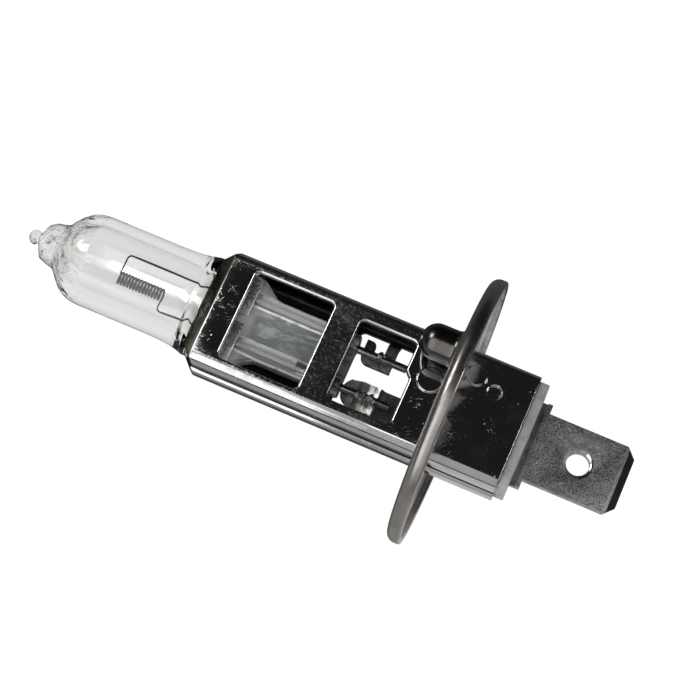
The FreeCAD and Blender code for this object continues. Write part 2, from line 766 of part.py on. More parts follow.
def make_blade():
    """Flat tab with a shoulder outside the insulator and an anchor inside it."""
    body = new_body("terminal_blade")
    anchor_back = S.anchor_front + S.anchor_length
    tip = SHOULDER_BACK + S.blade_length
    half = [
        (S.anchor_front, S.anchor_half_width), (anchor_back, S.anchor_half_width),
        (anchor_back, S.neck_half_width), (HEAD_BACK, S.neck_half_width),
        (HEAD_BACK, S.shoulder_half_width), (SHOULDER_BACK, S.shoulder_half_width),
        (SHOULDER_BACK, S.blade_half_width), (tip - S.blade_corner, S.blade_half_width),
        (tip, S.blade_half_width - S.blade_corner)]
    centre = (BLADE_TOP + BLADE_BOTTOM) / 2
    outline = polygon(new_sketch(body, "XY_Plane", "blade_outline", offset=centre),
                      half + [(x, -y) for x, y in reversed(half)])
    pad(body, outline, S.blade_sheet, midplane=True)
    bevels = new_sketch(body, "XZ_Plane", "blade_bevels")
    for face, up in ((BLADE_TOP, 1), (BLADE_BOTTOM, -1)):
        polygon(bevels, [
            (tip - S.blade_bevel, face), (tip, face - up * S.blade_bevel_depth),
            (tip + 0.1, face - up * S.blade_bevel_depth), (tip + 0.1, face + up * 0.1),
            (tip - S.blade_bevel, face + up * 0.1)])
    pocket(body, bevels, S.blade_half_width * 3)
    groove = rectangle(new_sketch(body, "XZ_Plane", "shoulder_groove"),
                       HEAD_BACK, HEAD_BACK + S.shoulder_groove,
                       BLADE_TOP - S.shoulder_groove_depth, BLADE_TOP + 0.1)
    pocket(body, groove, S.shoulder_half_width * 3)
    hole = circle(new_sketch(body, "XY_Plane", "blade_hole", offset=centre),
                  SHOULDER_BACK + S.blade_hole_at, 0, S.blade_hole_radius)
    pocket(body, hole, S.blade_sheet * 2)
    chamfer(body, S.countersink_width, S.countersink_depth,
            lambda e: near(e.BoundBox.XLength, S.blade_hole_radius * 2)
            and near(e.BoundBox.ZMin, BLADE_TOP))
    return body


def make_live_strip():
    """Stepped strip from under the lower lead pin to under the blade's anchor."""
    body = new_body("live_strip")
    high = BLADE_BOTTOM
    low = BLADE_BOTTOM - S.strip_drop
    top = [
        (-S.strip_front, high), (-S.strip_step_front, high),
        (S.strip_ramp - S.strip_step_front, low), (S.strip_step_back, low),
        (S.strip_step_back + S.strip_ramp, high), (S.strip_back, high)]
    under = [(x, z - S.strip_sheet) for x, z in reversed(top)]
    centre = S.strip_width / 2 - S.strip_inner_edge - LOWER_LEAD_Y
    outline = polygon(new_sketch(body, "XZ_Plane", "strip_side", offset=centre), top + under)
    pad(body, outline, S.strip_width, midplane=True)
    fillet(body, S.strip_nose, lambda e: runs_along(e, "z")
           and near(middle(e).x, -S.strip_front))
    return body


def make_ground_tab():
    """Plate under the upper lead pin with an arm bent down to the rear window's edge."""
    body = new_body("ground_tab")
    inner = UPPER_LEAD_Y - S.tab_inner_edge
    outer = UPPER_LEAD_Y + S.tab_outer_edge
    wing = UPPER_LEAD_Y + S.tab_wing_edge
    outline = polygon(new_sketch(body, "XY_Plane", "tab_outline",
                                 offset=BLADE_BOTTOM - S.strip_sheet / 2), [
        (-S.tab_front, inner), (-S.tab_back, inner), (-S.tab_back, outer),
        (-S.tab_wing_back, outer), (-S.tab_wing_back, wing), (-S.tab_front, wing)])
    pad(body, outline, S.strip_sheet, midplane=True)
    fillet(body, S.tab_corner, lambda e: runs_along(e, "z")
           and near(middle(e).x, -S.tab_front) and near(middle(e).y, inner))
    fillet(body, S.tab_wing_corner, lambda e: runs_along(e, "z")
           and near(middle(e).x, -S.tab_wing_back) and near(middle(e).y, wing))
    knee = UPPER_LEAD_Y + S.tab_arm_knee
    foot = S.sleeve_half_width - S.rear_window_margin + S.tab_foot
    floor = S.sleeve_sheet - S.rear_depth
    arm = polygon(new_sketch(body, "YZ_Plane", "tab_arm",
                             offset=-(S.tab_arm_front + S.tab_back) / 2), [
        (outer - S.strip_sheet, BLADE_BOTTOM), (knee, BLADE_BOTTOM), (foot, floor),
        (foot - S.strip_sheet, floor), (knee - S.strip_sheet / 2, BLADE_BOTTOM - S.strip_sheet),
        (outer - S.strip_sheet, BLADE_BOTTOM - S.strip_sheet)])
    pad(body, arm, S.tab_arm_front - S.tab_back, midplane=True)
    return body


def insulator_block(name, z0, z1, head0, head1, seat):
    """Head outside the sleeve joined to a plug inside it, rounded to the sleeve's bend."""
    wide = S.sleeve_half_width - S.head_inset
    head = box(name + "_head", S.sleeve_back, HEAD_BACK, -wide, wide, head0, head1)
    body = new_body(name + "_plug")
    half = INNER_HALF_WIDTH - S.plug_clearance
    outline = rectangle(new_sketch(body, "YZ_Plane", name + "_section",
                                   offset=S.plug_front), -half, half, z0, z1)
    pad(body, outline, S.sleeve_back - S.plug_front)
    fillet(body, S.sleeve_bend - S.sleeve_sheet, lambda e: runs_along(e, "x")
           and near(middle(e).z, seat))
    return joined(name, [head, body])


def make_insulators(inserts):
    """Two ceramic plates that meet at the blade's upper face."""
    top = S.front_depth - S.sleeve_sheet - S.plug_clearance
    bottom = -(S.rear_depth - S.sleeve_sheet - S.plug_clearance)
    front = insulator_block("front_insulator", BLADE_TOP, top, BLADE_TOP,
                            S.front_depth - S.head_step, top)
    rear = insulator_block("rear_insulator_block", bottom, BLADE_TOP,
                           S.head_step - S.rear_depth, BLADE_TOP, bottom)
    return [front, cut("rear_insulator", rear, joined("insulator_voids", inserts))]


# ---- the assembly ----------------------------------------------------------------------

filament = make_filament()
long_overwind = make_overwind("long_lead_overwind", S.long_overwind_front, UPPER_LEAD_Y)
short_overwind = make_overwind("short_lead_overwind", S.short_overwind_front, LOWER_LEAD_Y)
foils = [make_foil(side + "_foil", y) for side, y in LEAD_Y.items()]
pins = [make_lead_pin(side + "_lead_pin", y) for side, y in LEAD_Y.items()]
envelope = make_envelope(foils + pins)
front_shell = make_front_shell()
rear_shell = make_rear_shell()
front_spring = make_pinch_spring("front_pinch_spring", 1, S.front_depth)
rear_spring = make_pinch_spring("rear_pinch_spring", -1, S.rear_depth)
flange = make_flange()
blade = make_blade()
live_strip = make_live_strip()
ground_tab = make_ground_tab()
insulators = make_insulators([blade, live_strip])
doc.recompute()

parts = [envelope, filament, long_overwind, short_overwind, *foils, *pins, ground_tab,
         live_strip, front_shell, rear_shell, front_spring, rear_spring, flange, blade,
         *insulators]

for obj in doc.Objects:
    if "Invalid" in obj.State or "Error" in obj.State:
        raise RuntimeError("%s failed: %s" % (obj.Name, obj.State))
for part in parts:
    shape = part.Shape
    if shape.isNull() or not shape.isValid() or len(shape.Solids) != 1:
        raise RuntimeError("%s is not one sound solid" % part.Label)

os.makedirs("parts", exist_ok=True)
for part in parts:
    part.Shape.exportStep("parts/%s.step" % part.Label)
    bounds = part.Shape.BoundBox
    print("%-22s %8.3f mm3  x %.2f..%.2f  y %.2f..%.2f  z %.2f..%.2f" % (
        part.Label, part.Shape.Volume, bounds.XMin, bounds.XMax, bounds.YMin, bounds.YMax,
        bounds.ZMin, bounds.ZMax))
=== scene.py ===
"""Looks of a single-filament halogen headlamp bulb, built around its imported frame.

Lengths are written in millimetres and turned into metres where meshes are made.  The X axis
is the lamp axis, from the glass tip (-X) to the blade tip (+X), the origin lies in the
front face of the flange, and +Z is the normal of the sleeve's windowed face.
"""

import logging
import math
from dataclasses import dataclass, field
from enum import Enum
from typing import Callable, Sequence

import bmesh
import bpy
from mathutils import Matrix, Vector, noise


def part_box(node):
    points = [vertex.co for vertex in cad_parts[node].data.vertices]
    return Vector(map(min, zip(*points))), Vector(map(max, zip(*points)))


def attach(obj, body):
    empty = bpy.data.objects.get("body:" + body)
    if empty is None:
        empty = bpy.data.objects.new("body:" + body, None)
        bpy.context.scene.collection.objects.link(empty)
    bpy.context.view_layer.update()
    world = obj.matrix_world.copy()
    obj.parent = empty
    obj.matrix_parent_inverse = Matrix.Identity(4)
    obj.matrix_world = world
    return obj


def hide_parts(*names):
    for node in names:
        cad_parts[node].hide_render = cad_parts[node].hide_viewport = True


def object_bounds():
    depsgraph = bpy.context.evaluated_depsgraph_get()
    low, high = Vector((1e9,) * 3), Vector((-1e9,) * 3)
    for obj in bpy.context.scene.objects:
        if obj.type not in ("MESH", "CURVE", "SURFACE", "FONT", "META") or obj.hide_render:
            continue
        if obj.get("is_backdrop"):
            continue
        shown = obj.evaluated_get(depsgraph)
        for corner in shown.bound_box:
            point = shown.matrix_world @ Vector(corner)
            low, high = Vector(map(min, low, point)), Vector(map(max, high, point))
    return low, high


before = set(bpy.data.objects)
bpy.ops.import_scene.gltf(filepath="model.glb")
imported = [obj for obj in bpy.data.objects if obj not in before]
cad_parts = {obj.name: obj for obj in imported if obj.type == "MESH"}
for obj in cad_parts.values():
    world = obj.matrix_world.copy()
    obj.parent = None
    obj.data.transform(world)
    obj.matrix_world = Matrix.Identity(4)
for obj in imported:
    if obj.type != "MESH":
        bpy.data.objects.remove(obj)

MM = 0.001
BODY = "root"
LOG = logging.getLogger("headlamp_bulb")

QUARTZ_INDEX = 1.458    # refractive index
CAPSULE_Y = 0.2         # the capsule's own axis lies this far to the side, mm
RIDGE_OFFSET = 2.15     # from that axis to the middle of a pressed ridge, mm
RIDGE_START = -18.7     # front end of the ridges, mm

Colour = tuple[float, float, float]
Socket = bpy.types.NodeSocket


# ---- node trees ----

class NodeTree:
    """A node tree that is wired with short calls."""

    def __init__(self, tree: bpy.types.NodeTree) -> None:
        """Take the tree to work on."""
        self.tree = tree

    def feed(self, socket: Socket, value: object) -> None:
        """Link a socket to another one, or give it a constant.

        Args:
            socket: the input to fill.
            value: an output socket, or a constant.
        """
        if isinstance(value, bpy.types.NodeSocket):
            self.tree.links.new(value, socket)
        else:
            socket.default_value = value

    def node(self, kind: str, settings: dict[str, object] | None = None,
             **values: object) -> bpy.types.Node:
        """Add a node and fill its inputs; an underscore stands for a space.

        Args:
            kind: the node's type name.
            settings: properties of the node.
            values: input names and their constants or sockets.

        Returns:
            The new node.
        """
        made = self.tree.nodes.new(kind)
        for word, value in (settings or {}).items():
            setattr(made, word, value)
        for word, value in values.items():
            self.feed(made.inputs[word.replace("_", " ")], value)
        return made

    def math(self, operation: str, a: object, b: object = 0.0) -> Socket:
        """One math node.

        Args:
            operation: its operation.
            a: first operand.
            b: second operand.

        Returns:
            The result socket.
        """
        made = self.node("ShaderNodeMath", {"operation": operation})
        self.feed(made.inputs[0], a)
        self.feed(made.inputs[1], b)
        return made.outputs[0]

    def times(self, a: object, b: object) -> Socket:
        """Product of two numbers."""
        return self.math("MULTIPLY", a, b)

    def plus(self, a: object, b: object, share: float = 1.0) -> Socket:
        """Sum of a number and a share of another."""
        return self.math("ADD", a, self.times(b, share))

    def larger(self, a: object, b: object) -> Socket:
        """Larger of two numbers."""
        return self.math("MAXIMUM", a, b)

    def away(self, value: object, middle: object) -> Socket:
        """Distance of a number from a middle."""
        return self.math("ABSOLUTE", self.math("SUBTRACT", value, middle))


class ShaderTree(NodeTree):
    """A material's node tree round one Principled shader."""

    def __init__(self, name: str) -> None:
        """Start an empty material.

        Args:
            name: the material's name.
        """
        self.material = bpy.data.materials.new(name)
        self.material.use_nodes = True
        super().__init__(self.material.node_tree)
        self.tree.nodes.clear()
        self.shader = self.node("ShaderNodeBsdfPrincipled")
        self.node("ShaderNodeOutputMaterial", Surface=self.shader.outputs["BSDF"])
        self.place = self.node("ShaderNodeTexCoord").outputs["Object"]

    def surface(self, **values: object) -> None:
        """Fill inputs of the shader; an underscore stands for a space."""
        for word, value in values.items():
            self.feed(self.shader.inputs[word.replace("_", " ")], value)

    def spot(self, grain: Sequence[float] = (1.0, 1.0, 1.0), turn: float = 0.0) -> Socket:
        """Object place in units of grain (mm), turned about Z first by some degrees."""
        return self.node("ShaderNodeMapping", {"vector_type": "TEXTURE"}, Vector=self.place,
                         Rotation=(0.0, 0.0, math.radians(turn)),
                         Scale=[size * MM for size in grain]).outputs["Vector"]

    def axes(self) -> tuple[Socket, ...]:
        """Sockets with the object place's X, Y and Z in millimetres."""
        return tuple(self.node("ShaderNodeSeparateXYZ", Vector=self.spot()).outputs)

    def noise(self, vector: Socket, detail: float = 2.0, rough: float = 0.5,
              twist: float = 0.0) -> Socket:
        """Noise near 0.5, of about one cell per unit of the vector."""
        return self.node("ShaderNodeTexNoise", Vector=vector, Scale=1.0, Detail=detail,
                         Roughness=rough, Distortion=twist).outputs["Fac"]

    def cells(self, vector: Socket) -> bpy.types.Node:
        """Voronoi cells of about one unit, sampled at a vector."""
        return self.node("ShaderNodeTexVoronoi", Vector=vector, Scale=1.0)

    def ramp(self, value: object, low: float, high: float, start: float = 0.0,
             end: float = 1.0) -> Socket:
        """Smooth step of a value, from start at low to end at high."""
        return self.node("ShaderNodeMapRange", {"interpolation_type": "SMOOTHSTEP"},
                         Value=value, From_Min=low, From_Max=high, To_Min=start,
                         To_Max=end).outputs["Result"]

    def blend(self, share: Socket, a: object, b: object) -> Socket:
        """Mix of two colours.

        Args:
            share: how much of b shows.
            a: first colour.
            b: second colour.

        Returns:
            The colour socket.
        """
        made = self.node("ShaderNodeMix", {"data_type": "RGBA"})
        sockets = {s.identifier: s for s in made.inputs}
        self.feed(sockets["Factor_Float"], share)
        for word, value in (("A_Color", a), ("B_Color", b)):
            self.feed(sockets[word], (*value, 1.0) if isinstance(value, tuple) else value)
        return {s.identifier: s for s in made.outputs}["Result_Color"]

    def choose(self, switch: Socket, off: object, on: object) -> Socket:
        """Pick one of two numbers.

        Args:
            switch: 0 for off, 1 for on.
            off: number or socket used at 0.
            on: number or socket used at 1.

        Returns:
            The result socket.
        """
        made = self.node("ShaderNodeMix", {"data_type": "FLOAT"})
        for place, value in ((0, switch), (2, off), (3, on)):
            self.feed(made.inputs[place], value)
        return made.outputs[0]

    def bump(self, height: Socket, depth: float, below: Socket | None = None) -> Socket:
        """Bump the normal by a height.

        Args:
            height: the height, from 0 to 1.
            depth: its full depth in millimetres.
            below: normal of a coarser bump under this one.

        Returns:
            The normal socket.
        """
        made = self.node("ShaderNodeBump", Distance=depth * MM, Height=height)
        if below is not None:
            self.feed(made.inputs["Normal"], below)
        return made.outputs["Normal"]


class GeometryTree(NodeTree):
    """A Geometry Nodes tree with named sizes that makes a wire in one material."""

    def __init__(self, name: str, sizes: Sequence[str]) -> None:
        """Start a tree that takes a geometry, a material and some sizes.

        Args:
            name: the tree's name.
            sizes: names of its number inputs.
        """
        super().__init__(bpy.data.node_groups.new(name, "GeometryNodeTree"))
        for word, way, kind in (("Geometry", "INPUT", "NodeSocketGeometry"),
                                ("Material", "INPUT", "NodeSocketMaterial"),
                                *((size, "INPUT", "NodeSocketFloat") for size in sizes),
                                ("Geometry", "OUTPUT", "NodeSocketGeometry")):
            self.tree.interface.new_socket(word, in_out=way, socket_type=kind)
        self.inputs = self.tree.nodes.new("NodeGroupInput").outputs

    def sweep(self, line: Socket) -> None:
        """End the tree with a round wire along a line, realized and in its material.

        Args:
            line: the wire's centre line.
        """
        section = self.node("GeometryNodeCurvePrimitiveCircle",
                            Resolution=self.inputs["Sides"],
                            Radius=self.inputs["Wire Radius"])
        skin = self.node("GeometryNodeCurveToMesh", Curve=line,
                         Profile_Curve=section.outputs["Curve"], Fill_Caps=True)
        smooth = self.node("GeometryNodeSetShadeSmooth", Geometry=skin.outputs["Mesh"])
        real = self.node("GeometryNodeRealizeInstances",
                         Geometry=smooth.outputs["Geometry"])
        dressed = self.node("GeometryNodeSetMaterial", Geometry=real.outputs["Geometry"],
                            Material=self.inputs["Material"])
        self.node("NodeGroupOutput", Geometry=dressed.outputs["Geometry"])

    def make(self, name: str, base: bpy.types.ID, material: bpy.types.Material,
             sizes: dict[str, float]) -> bpy.types.Object:
        """Run the tree once and keep its result as a plain mesh.

        Args:
            name: name of the finished piece.
            base: mesh or curve data that the tree takes in.
            material: material of the piece.
            sizes: values of the tree's number inputs.

        Returns:
            The finished object, with no modifier.
        """
        host = link(name + "_base", base)
        modifier = host.modifiers.new("shape", "NODES")
        modifier.node_group = self.tree
        sockets = {s.name: s.identifier for s in self.tree.interface.items_tree
                   if s.in_out == "INPUT"}
        modifier[sockets["Material"]] = material
        for word, value in sizes.items():
            modifier[sockets[word]] = value
        mesh = evaluated_mesh(host)
        bpy.data.objects.remove(host)
        mesh.name = name
        return link(name, mesh)


# ---- mesh helpers ----

def link(name: str, data: bpy.types.ID) -> bpy.types.Object:
    """Put data in the scene as an object at the origin.

    Args:
        name: the object's name.
        data: its mesh, curve, light or camera.

    Returns:
        The object.
    """
    made = bpy.data.objects.new(name, data)
    bpy.context.scene.collection.objects.link(made)
    return made


def evaluated_mesh(piece: bpy.types.Object) -> bpy.types.Mesh:
    """New mesh with what an object's modifiers make of it."""
    ready = piece.evaluated_get(bpy.context.evaluated_depsgraph_get())
    return bpy.data.meshes.new_from_object(ready)


def settle(piece: bpy.types.Object, slot: str, *nodes: str) -> None:
    """Fix a finished piece to the lamp and log it.

    Args:
        piece: the finished object.
        slot: the record's material slot, which is only logged.
        nodes: frame nodes that it stands for.
    """
    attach(piece, BODY)
    if nodes:
        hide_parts(*nodes)
    LOG.info("%s: %d faces, slot %s, stands for %s", piece.name, len(piece.data.polygons),
             slot, ", ".join(nodes) or "nothing")


def wave(point: Vector, cell: float, layers: int = 3) -> float:
    """Smooth repeatable noise about zero.

    Args:
        point: where it is sampled, in millimetres.
        cell: size of its largest cells, in millimetres.
        layers: how many layers it has.

    Returns:
        A number of about -1 to 1.
    """
    return noise.fractal(point / cell, 0.9, 2.0, layers)


def smoothstep(value: float, low: float, high: float) -> float:
    """Ease from 0 at low to 1 at high."""
    share = min(max((value - low) / (high - low), 0.0), 1.0)
    return share * share * (3.0 - 2.0 * share)


def spline(points: Sequence[Sequence[float]], steps: int) -> list[list[float]]:
    """Run a smooth curve through points of any dimension.

    Args:
        points: the points it passes through.
        steps: how many pieces each span is cut into.

    Returns:
        The sampled points, ends included.
    """
    padded = [points[0], *points, points[-1]]
    found = []
    for before, start, end, after in zip(padded, padded[1:], padded[2:], padded[3:]):
        for step in range(steps):
            t = step / steps
            found.append([
                0.5 * (2 * b + (c - a) * t + (2 * a - 5 * b + 4 * c - d) * t * t
                       + (3 * b - a - 3 * c + d) * t ** 3)
                for a, b, c, d in zip(before, start, end, after)])
    return found + [list(points[-1])]


def loft(bm: bmesh.types.BMesh, rings: Sequence[Sequence[Vector]], flip: bool) -> None:
    """Skin closed rings and close both ends with a fan.

    Args:
        bm: mesh that the skin is added to.
        rings: rings of equally many points, in millimetres, wound about +X.
        flip: True where the faces look towards the axis.
    """
    rows = [[bm.verts.new(point * MM) for point in ring] for ring in rings]
    count = len(rows[0])
    faces = []
    for row, following in zip(rows, rows[1:]):
        for i in range(count):
            j = (i + 1) % count
            faces.append(bm.faces.new((row[i], row[j], following[j], following[i])))
    for row, turn in ((rows[0], -1), (rows[-1], 1)):
        centre = bm.verts.new(sum((v.co for v in row), Vector()) / count)
        for i in range(count):
            a, b = row[i], row[(i + 1) % count]
            faces.append(bm.faces.new((centre, b, a) if turn < 0 else (centre, a, b)))
    if flip:
        bmesh.ops.reverse_faces(bm, faces=faces)


# ---- finishes ----

@dataclass(frozen=True)
class MetalFinish:
    """Rolled, plated or bare metal with haze, short hair scratches, specks and pits."""

    name: str
    clean: Colour
    dull: Colour
    polish: float             # roughness where it is clean
    haze: float               # roughness where it is dull
    patch: float = 2.5        # size of the hazy patches, mm
    scratched: float = 0.5    # share of the hair scratches that show
    specked: float = 0.2      # share of the cells that hold a bright speck
    pitted: float = 0.0       # depth of the pits, mm
    ripple: float = 0.004     # depth of the sheet's slow waves, mm
    mottled: float = 0.0      # strength of fine dark grains
    bright: float = 0.9       # grey of a scratch's fresh metal
    rubbed: float = 0.0       # extra haze along the sides and between the windows
    painted_dark_ends: tuple[float, float] = (-99.0, 99.0)   # painted shade: darkened before and behind these, mm
    painted_end_colour: Colour = (0.06, 0.06, 0.06)

    # turn in degrees, length and width in mm of each kind of hair scratch
    HAIRS = ((14.0, 1.7, 0.075), (-38.0, 1.2, 0.07), (71.0, 1.5, 0.07), (40.0, 0.9, 0.08))
    RUBBED_SIDES = (3.4, 4.5)         # from the axis, mm
    RUBBED_BAR = (-11.7, -8.8)        # between the windows, mm
    MARK_HAZE = 0.42                  # extra roughness of scratches and specks
    ENDS_HAZE = 0.16                  # extra roughness of the darkened ends
    ENDS_FADE = 0.08                  # half the length over which they darken, mm

    def chosen(self, shade: ShaderTree, cells: bpy.types.Node, share: float) -> Socket:
        """Mask of a share of the cells, picked by chance."""
        parts = shade.node("ShaderNodeSeparateColor", Color=cells.outputs["Color"])
        return shade.ramp(parts.outputs[0], 1.0 - share, 1.01 - share)

    def hair(self, shade: ShaderTree) -> Socket:
        """Short thin lines in a few directions, crowded in places.

        Args:
            shade: tree that they are added to.

        Returns:
            Mask socket, 1 on a scratch.
        """
        found: object = 0.0
        for turn, length, width in self.HAIRS:
            cells = shade.cells(shade.spot((length, width, width), turn))
            line = shade.ramp(cells.outputs["Distance"], 0.08, 0.26, 1.0, 0.0)
            found = shade.larger(found, shade.times(line, self.chosen(shade, cells, 0.4)))
        crowd = shade.ramp(shade.noise(shade.spot((2.4, 1.9, 1.9), 20.0), 2.0), 0.44, 0.66)
        return shade.times(found, shade.times(crowd, self.scratched))

    def specks(self, shade: ShaderTree) -> Socket:
        """Small bright dots of two sizes where the metal is bruised.

        Args:
            shade: tree that they are added to.

        Returns:
            Mask socket, 1 on a speck.
        """
        found: object = 0.0
        for size, share, strength in ((0.20, self.specked, 0.5),
                                      (0.55, self.specked * 0.3, 1.0)):
            cells = shade.cells(shade.spot((size * 1.15, size, size), 33.0))
            dots = shade.ramp(cells.outputs["Distance"], 0.05, 0.20, strength, 0.0)
            found = shade.larger(found, shade.times(dots, self.chosen(shade, cells, share)))
        return found

    def rub(self, shade: ShaderTree, x: Socket, y: Socket, z: Socket) -> Socket:
        """Where handling has dulled a half shell: along its sides and between its windows.

        Args:
            shade: tree that the nodes are added to.
            x: place along the lamp axis, mm.
            y: place across, mm.
            z: height over the axis, mm.

        Returns:
            Mask socket.
        """
        side = shade.times(shade.ramp(shade.away(y, 0.0), *self.RUBBED_SIDES),
                           shade.ramp(x, -3.0, 3.0, 1.0, 0.4))
        low, high = self.RUBBED_BAR
        bar = shade.times(shade.ramp(x, low - 0.5, low + 0.6),
                          shade.ramp(x, high - 0.8, high + 0.6, 1.0, 0.0))
        where = shade.times(shade.larger(side, bar), shade.ramp(z, 2.2, 2.5))
        fleck = shade.noise(shade.spot((0.34, 0.24, 0.24), -30.0), 6.0, 0.78)
        return shade.times(where, shade.ramp(fleck, 0.48, 0.66, 0.06, self.rubbed))

    def material(self) -> bpy.types.Material:
        """Build the material."""
        shade = ShaderTree(self.name)
        x, y, z = shade.axes()
        cloud = shade.noise(shade.spot((self.patch, self.patch * 0.8, self.patch)),
                            5.0, 0.64, 0.5)
        grain = shade.noise(shade.spot((0.9, 0.05, 0.05)), 2.0, 0.6)
        grit = shade.noise(shade.spot((0.14,) * 3), 3.0, 0.7)
        marks = shade.larger(self.hair(shade), self.specks(shade))
        # painted shade: before the first end and behind the last, the colour is darkened
        first, last = self.painted_dark_ends
        painted_end_mask = shade.larger(
            shade.ramp(x, first - self.ENDS_FADE, first + self.ENDS_FADE, 1.0, 0.0),
            shade.ramp(x, last - self.ENDS_FADE, last + self.ENDS_FADE))

        fresh = tuple(min(1.0, self.bright * c / max(self.clean)) for c in self.clean)
        colour = shade.blend(shade.ramp(cloud, 0.42, 0.66), self.clean, self.dull)
        colour = shade.blend(shade.times(shade.ramp(grit, 0.5, 0.68), self.mottled),
                             colour, tuple(c * 0.35 for c in self.dull))
        colour = shade.blend(painted_end_mask, shade.blend(marks, colour, fresh), self.painted_end_colour)

        rough = shade.ramp(cloud, 0.44, 0.7, self.polish, self.haze)
        rough = shade.plus(rough, grain, 0.03)
        if self.rubbed > 0.0:
            rough = shade.plus(rough, self.rub(shade, x, y, z))
        rough = shade.plus(rough, marks, self.MARK_HAZE)
        rough = shade.plus(rough, painted_end_mask, self.ENDS_HAZE)

        normal = shade.bump(shade.noise(shade.spot((3.2, 2.6, 2.6)), 1.0), self.ripple)
        normal = shade.bump(marks, -0.008, shade.bump(grain, 0.0005, normal))
        if self.pitted > 0.0:
            normal = shade.bump(shade.ramp(grit, 0.34, 0.58), self.pitted, normal)
        shade.surface(Metallic=1.0, Base_Color=colour, Roughness=rough, Normal=normal)
        return shade.material


@dataclass(frozen=True)
class QuartzFinish:
    """Clear fused quartz with faint draw lines, bubbles and dust."""

    name: str
    tint: Colour = (0.972, 0.968, 0.962)
    draw_depth: float = 0.0016    # depth of the draw lines, mm
    melt_depth: float = 0.10      # depth of the ripples where the tip was melted, mm
    melt_back: float = -33.4      # the melted glass ends here, mm
    bubble_depth: float = 0.02

    def material(self) -> bpy.types.Material:
        """Build the material."""
        shade = ShaderTree(self.name)
        x, _y, _z = shade.axes()
        drawn = shade.bump(shade.noise(shade.spot((9.0, 0.8, 0.8)), 2.0, 0.5),
                           self.draw_depth)
        melt = shade.times(shade.noise(shade.spot((0.8, 0.5, 0.5)), 3.0, 0.6, 0.8),
                           shade.ramp(x, self.melt_back - 2.4, self.melt_back, 1.0, 0.0))
        cells = shade.cells(shade.spot((0.55, 0.42, 0.42), 12.0))
        bubble = shade.times(shade.ramp(cells.outputs["Distance"], 0.05, 0.16, 1.0, 0.0),
                             shade.ramp(x, -35.5, -30.0, 1.0, 0.12))
        rippled = shade.bump(melt, self.melt_depth, drawn)
        shade.surface(Base_Color=(*self.tint, 1.0), Roughness=0.0, IOR=QUARTZ_INDEX,
                      Transmission_Weight=1.0,
                      Normal=shade.bump(bubble, self.bubble_depth, rippled))
        return shade.material


@dataclass(frozen=True)
class PressedQuartzFinish:
    """Quartz where it was pressed flat round the foils: hazy, with jaw marks."""

    name: str
    pale: Colour
    murky: Colour
    clear: Colour = (0.95, 0.97, 0.96)
    highlight_colour: Colour = (0.97, 0.98, 0.97)

    def material(self) -> bpy.types.Material:
        """Build the material."""
        shade = ShaderTree(self.name)
        x, y, _z = shade.axes()
        off = shade.away(shade.away(y, CAPSULE_Y), RIDGE_OFFSET)
        ridge = shade.times(shade.ramp(off, 0.50, 0.68, 1.0, 0.0),
                            shade.ramp(x, RIDGE_START, RIDGE_START + 0.4))
        cloud = shade.noise(shade.spot((1.9, 1.1, 1.1), 8.0), 5.0, 0.66, 0.6)
        drag = shade.noise(shade.spot((3.0, 0.6, 0.6)), 2.0, 0.5, 0.3)
        frost = shade.noise(shade.spot((0.12,) * 3), 3.0, 0.7)
        # painted highlight: a white, less clear line along each side of the ridges
        ridge_highlight = shade.times(shade.ramp(shade.away(off, 0.66), 0.05, 0.12, 1.0, 0.0),
                          shade.ramp(cloud, 0.36, 0.5, 0.3, 1.0))
        milk = shade.times(shade.ramp(cloud, 0.40, 0.64), shade.ramp(drag, 0.36, 0.52))
        nose = shade.ramp(x, -18.0, -17.2, 1.0, 0.0)
        web = shade.blend(nose, shade.blend(milk, self.murky, self.pale),
                          (0.96, 0.97, 0.96))
        colour = shade.blend(ridge_highlight, shade.blend(ridge, web, self.clear), self.highlight_colour)
        shade.surface(
            Base_Color=colour, Roughness=shade.ramp(cloud, 0.36, 0.68, 0.02, 0.12),
            IOR=QUARTZ_INDEX, Specular_IOR_Level=0.8, Coat_Weight=0.8, Coat_Roughness=0.03,
            Transmission_Weight=shade.times(shade.plus(0.46, ridge, 0.46),
                                            shade.plus(1.0, ridge_highlight, -0.7)),
            Normal=shade.bump(drag, 0.003, shade.bump(frost, 0.002)))
        return shade.material


@dataclass(frozen=True)
class CeramicFinish:
    """Pressed pale ceramic, mottled and faintly stained."""

    name: str
    pale: Colour
    stain: Colour

    def material(self) -> bpy.types.Material:
        """Build the material."""
        shade = ShaderTree(self.name)
        mottle = shade.noise(shade.spot((1.1,) * 3), 5.0, 0.65, 0.5)
        grit = shade.noise(shade.spot((0.16,) * 3), 3.0, 0.6)
        colour = shade.blend(shade.ramp(mottle, 0.38, 0.7), self.pale, self.stain)
        shade.surface(Base_Color=colour, Roughness=shade.ramp(grit, 0.3, 0.7, 0.55, 0.8),
                      Normal=shade.bump(grit, 0.02))
        return shade.material


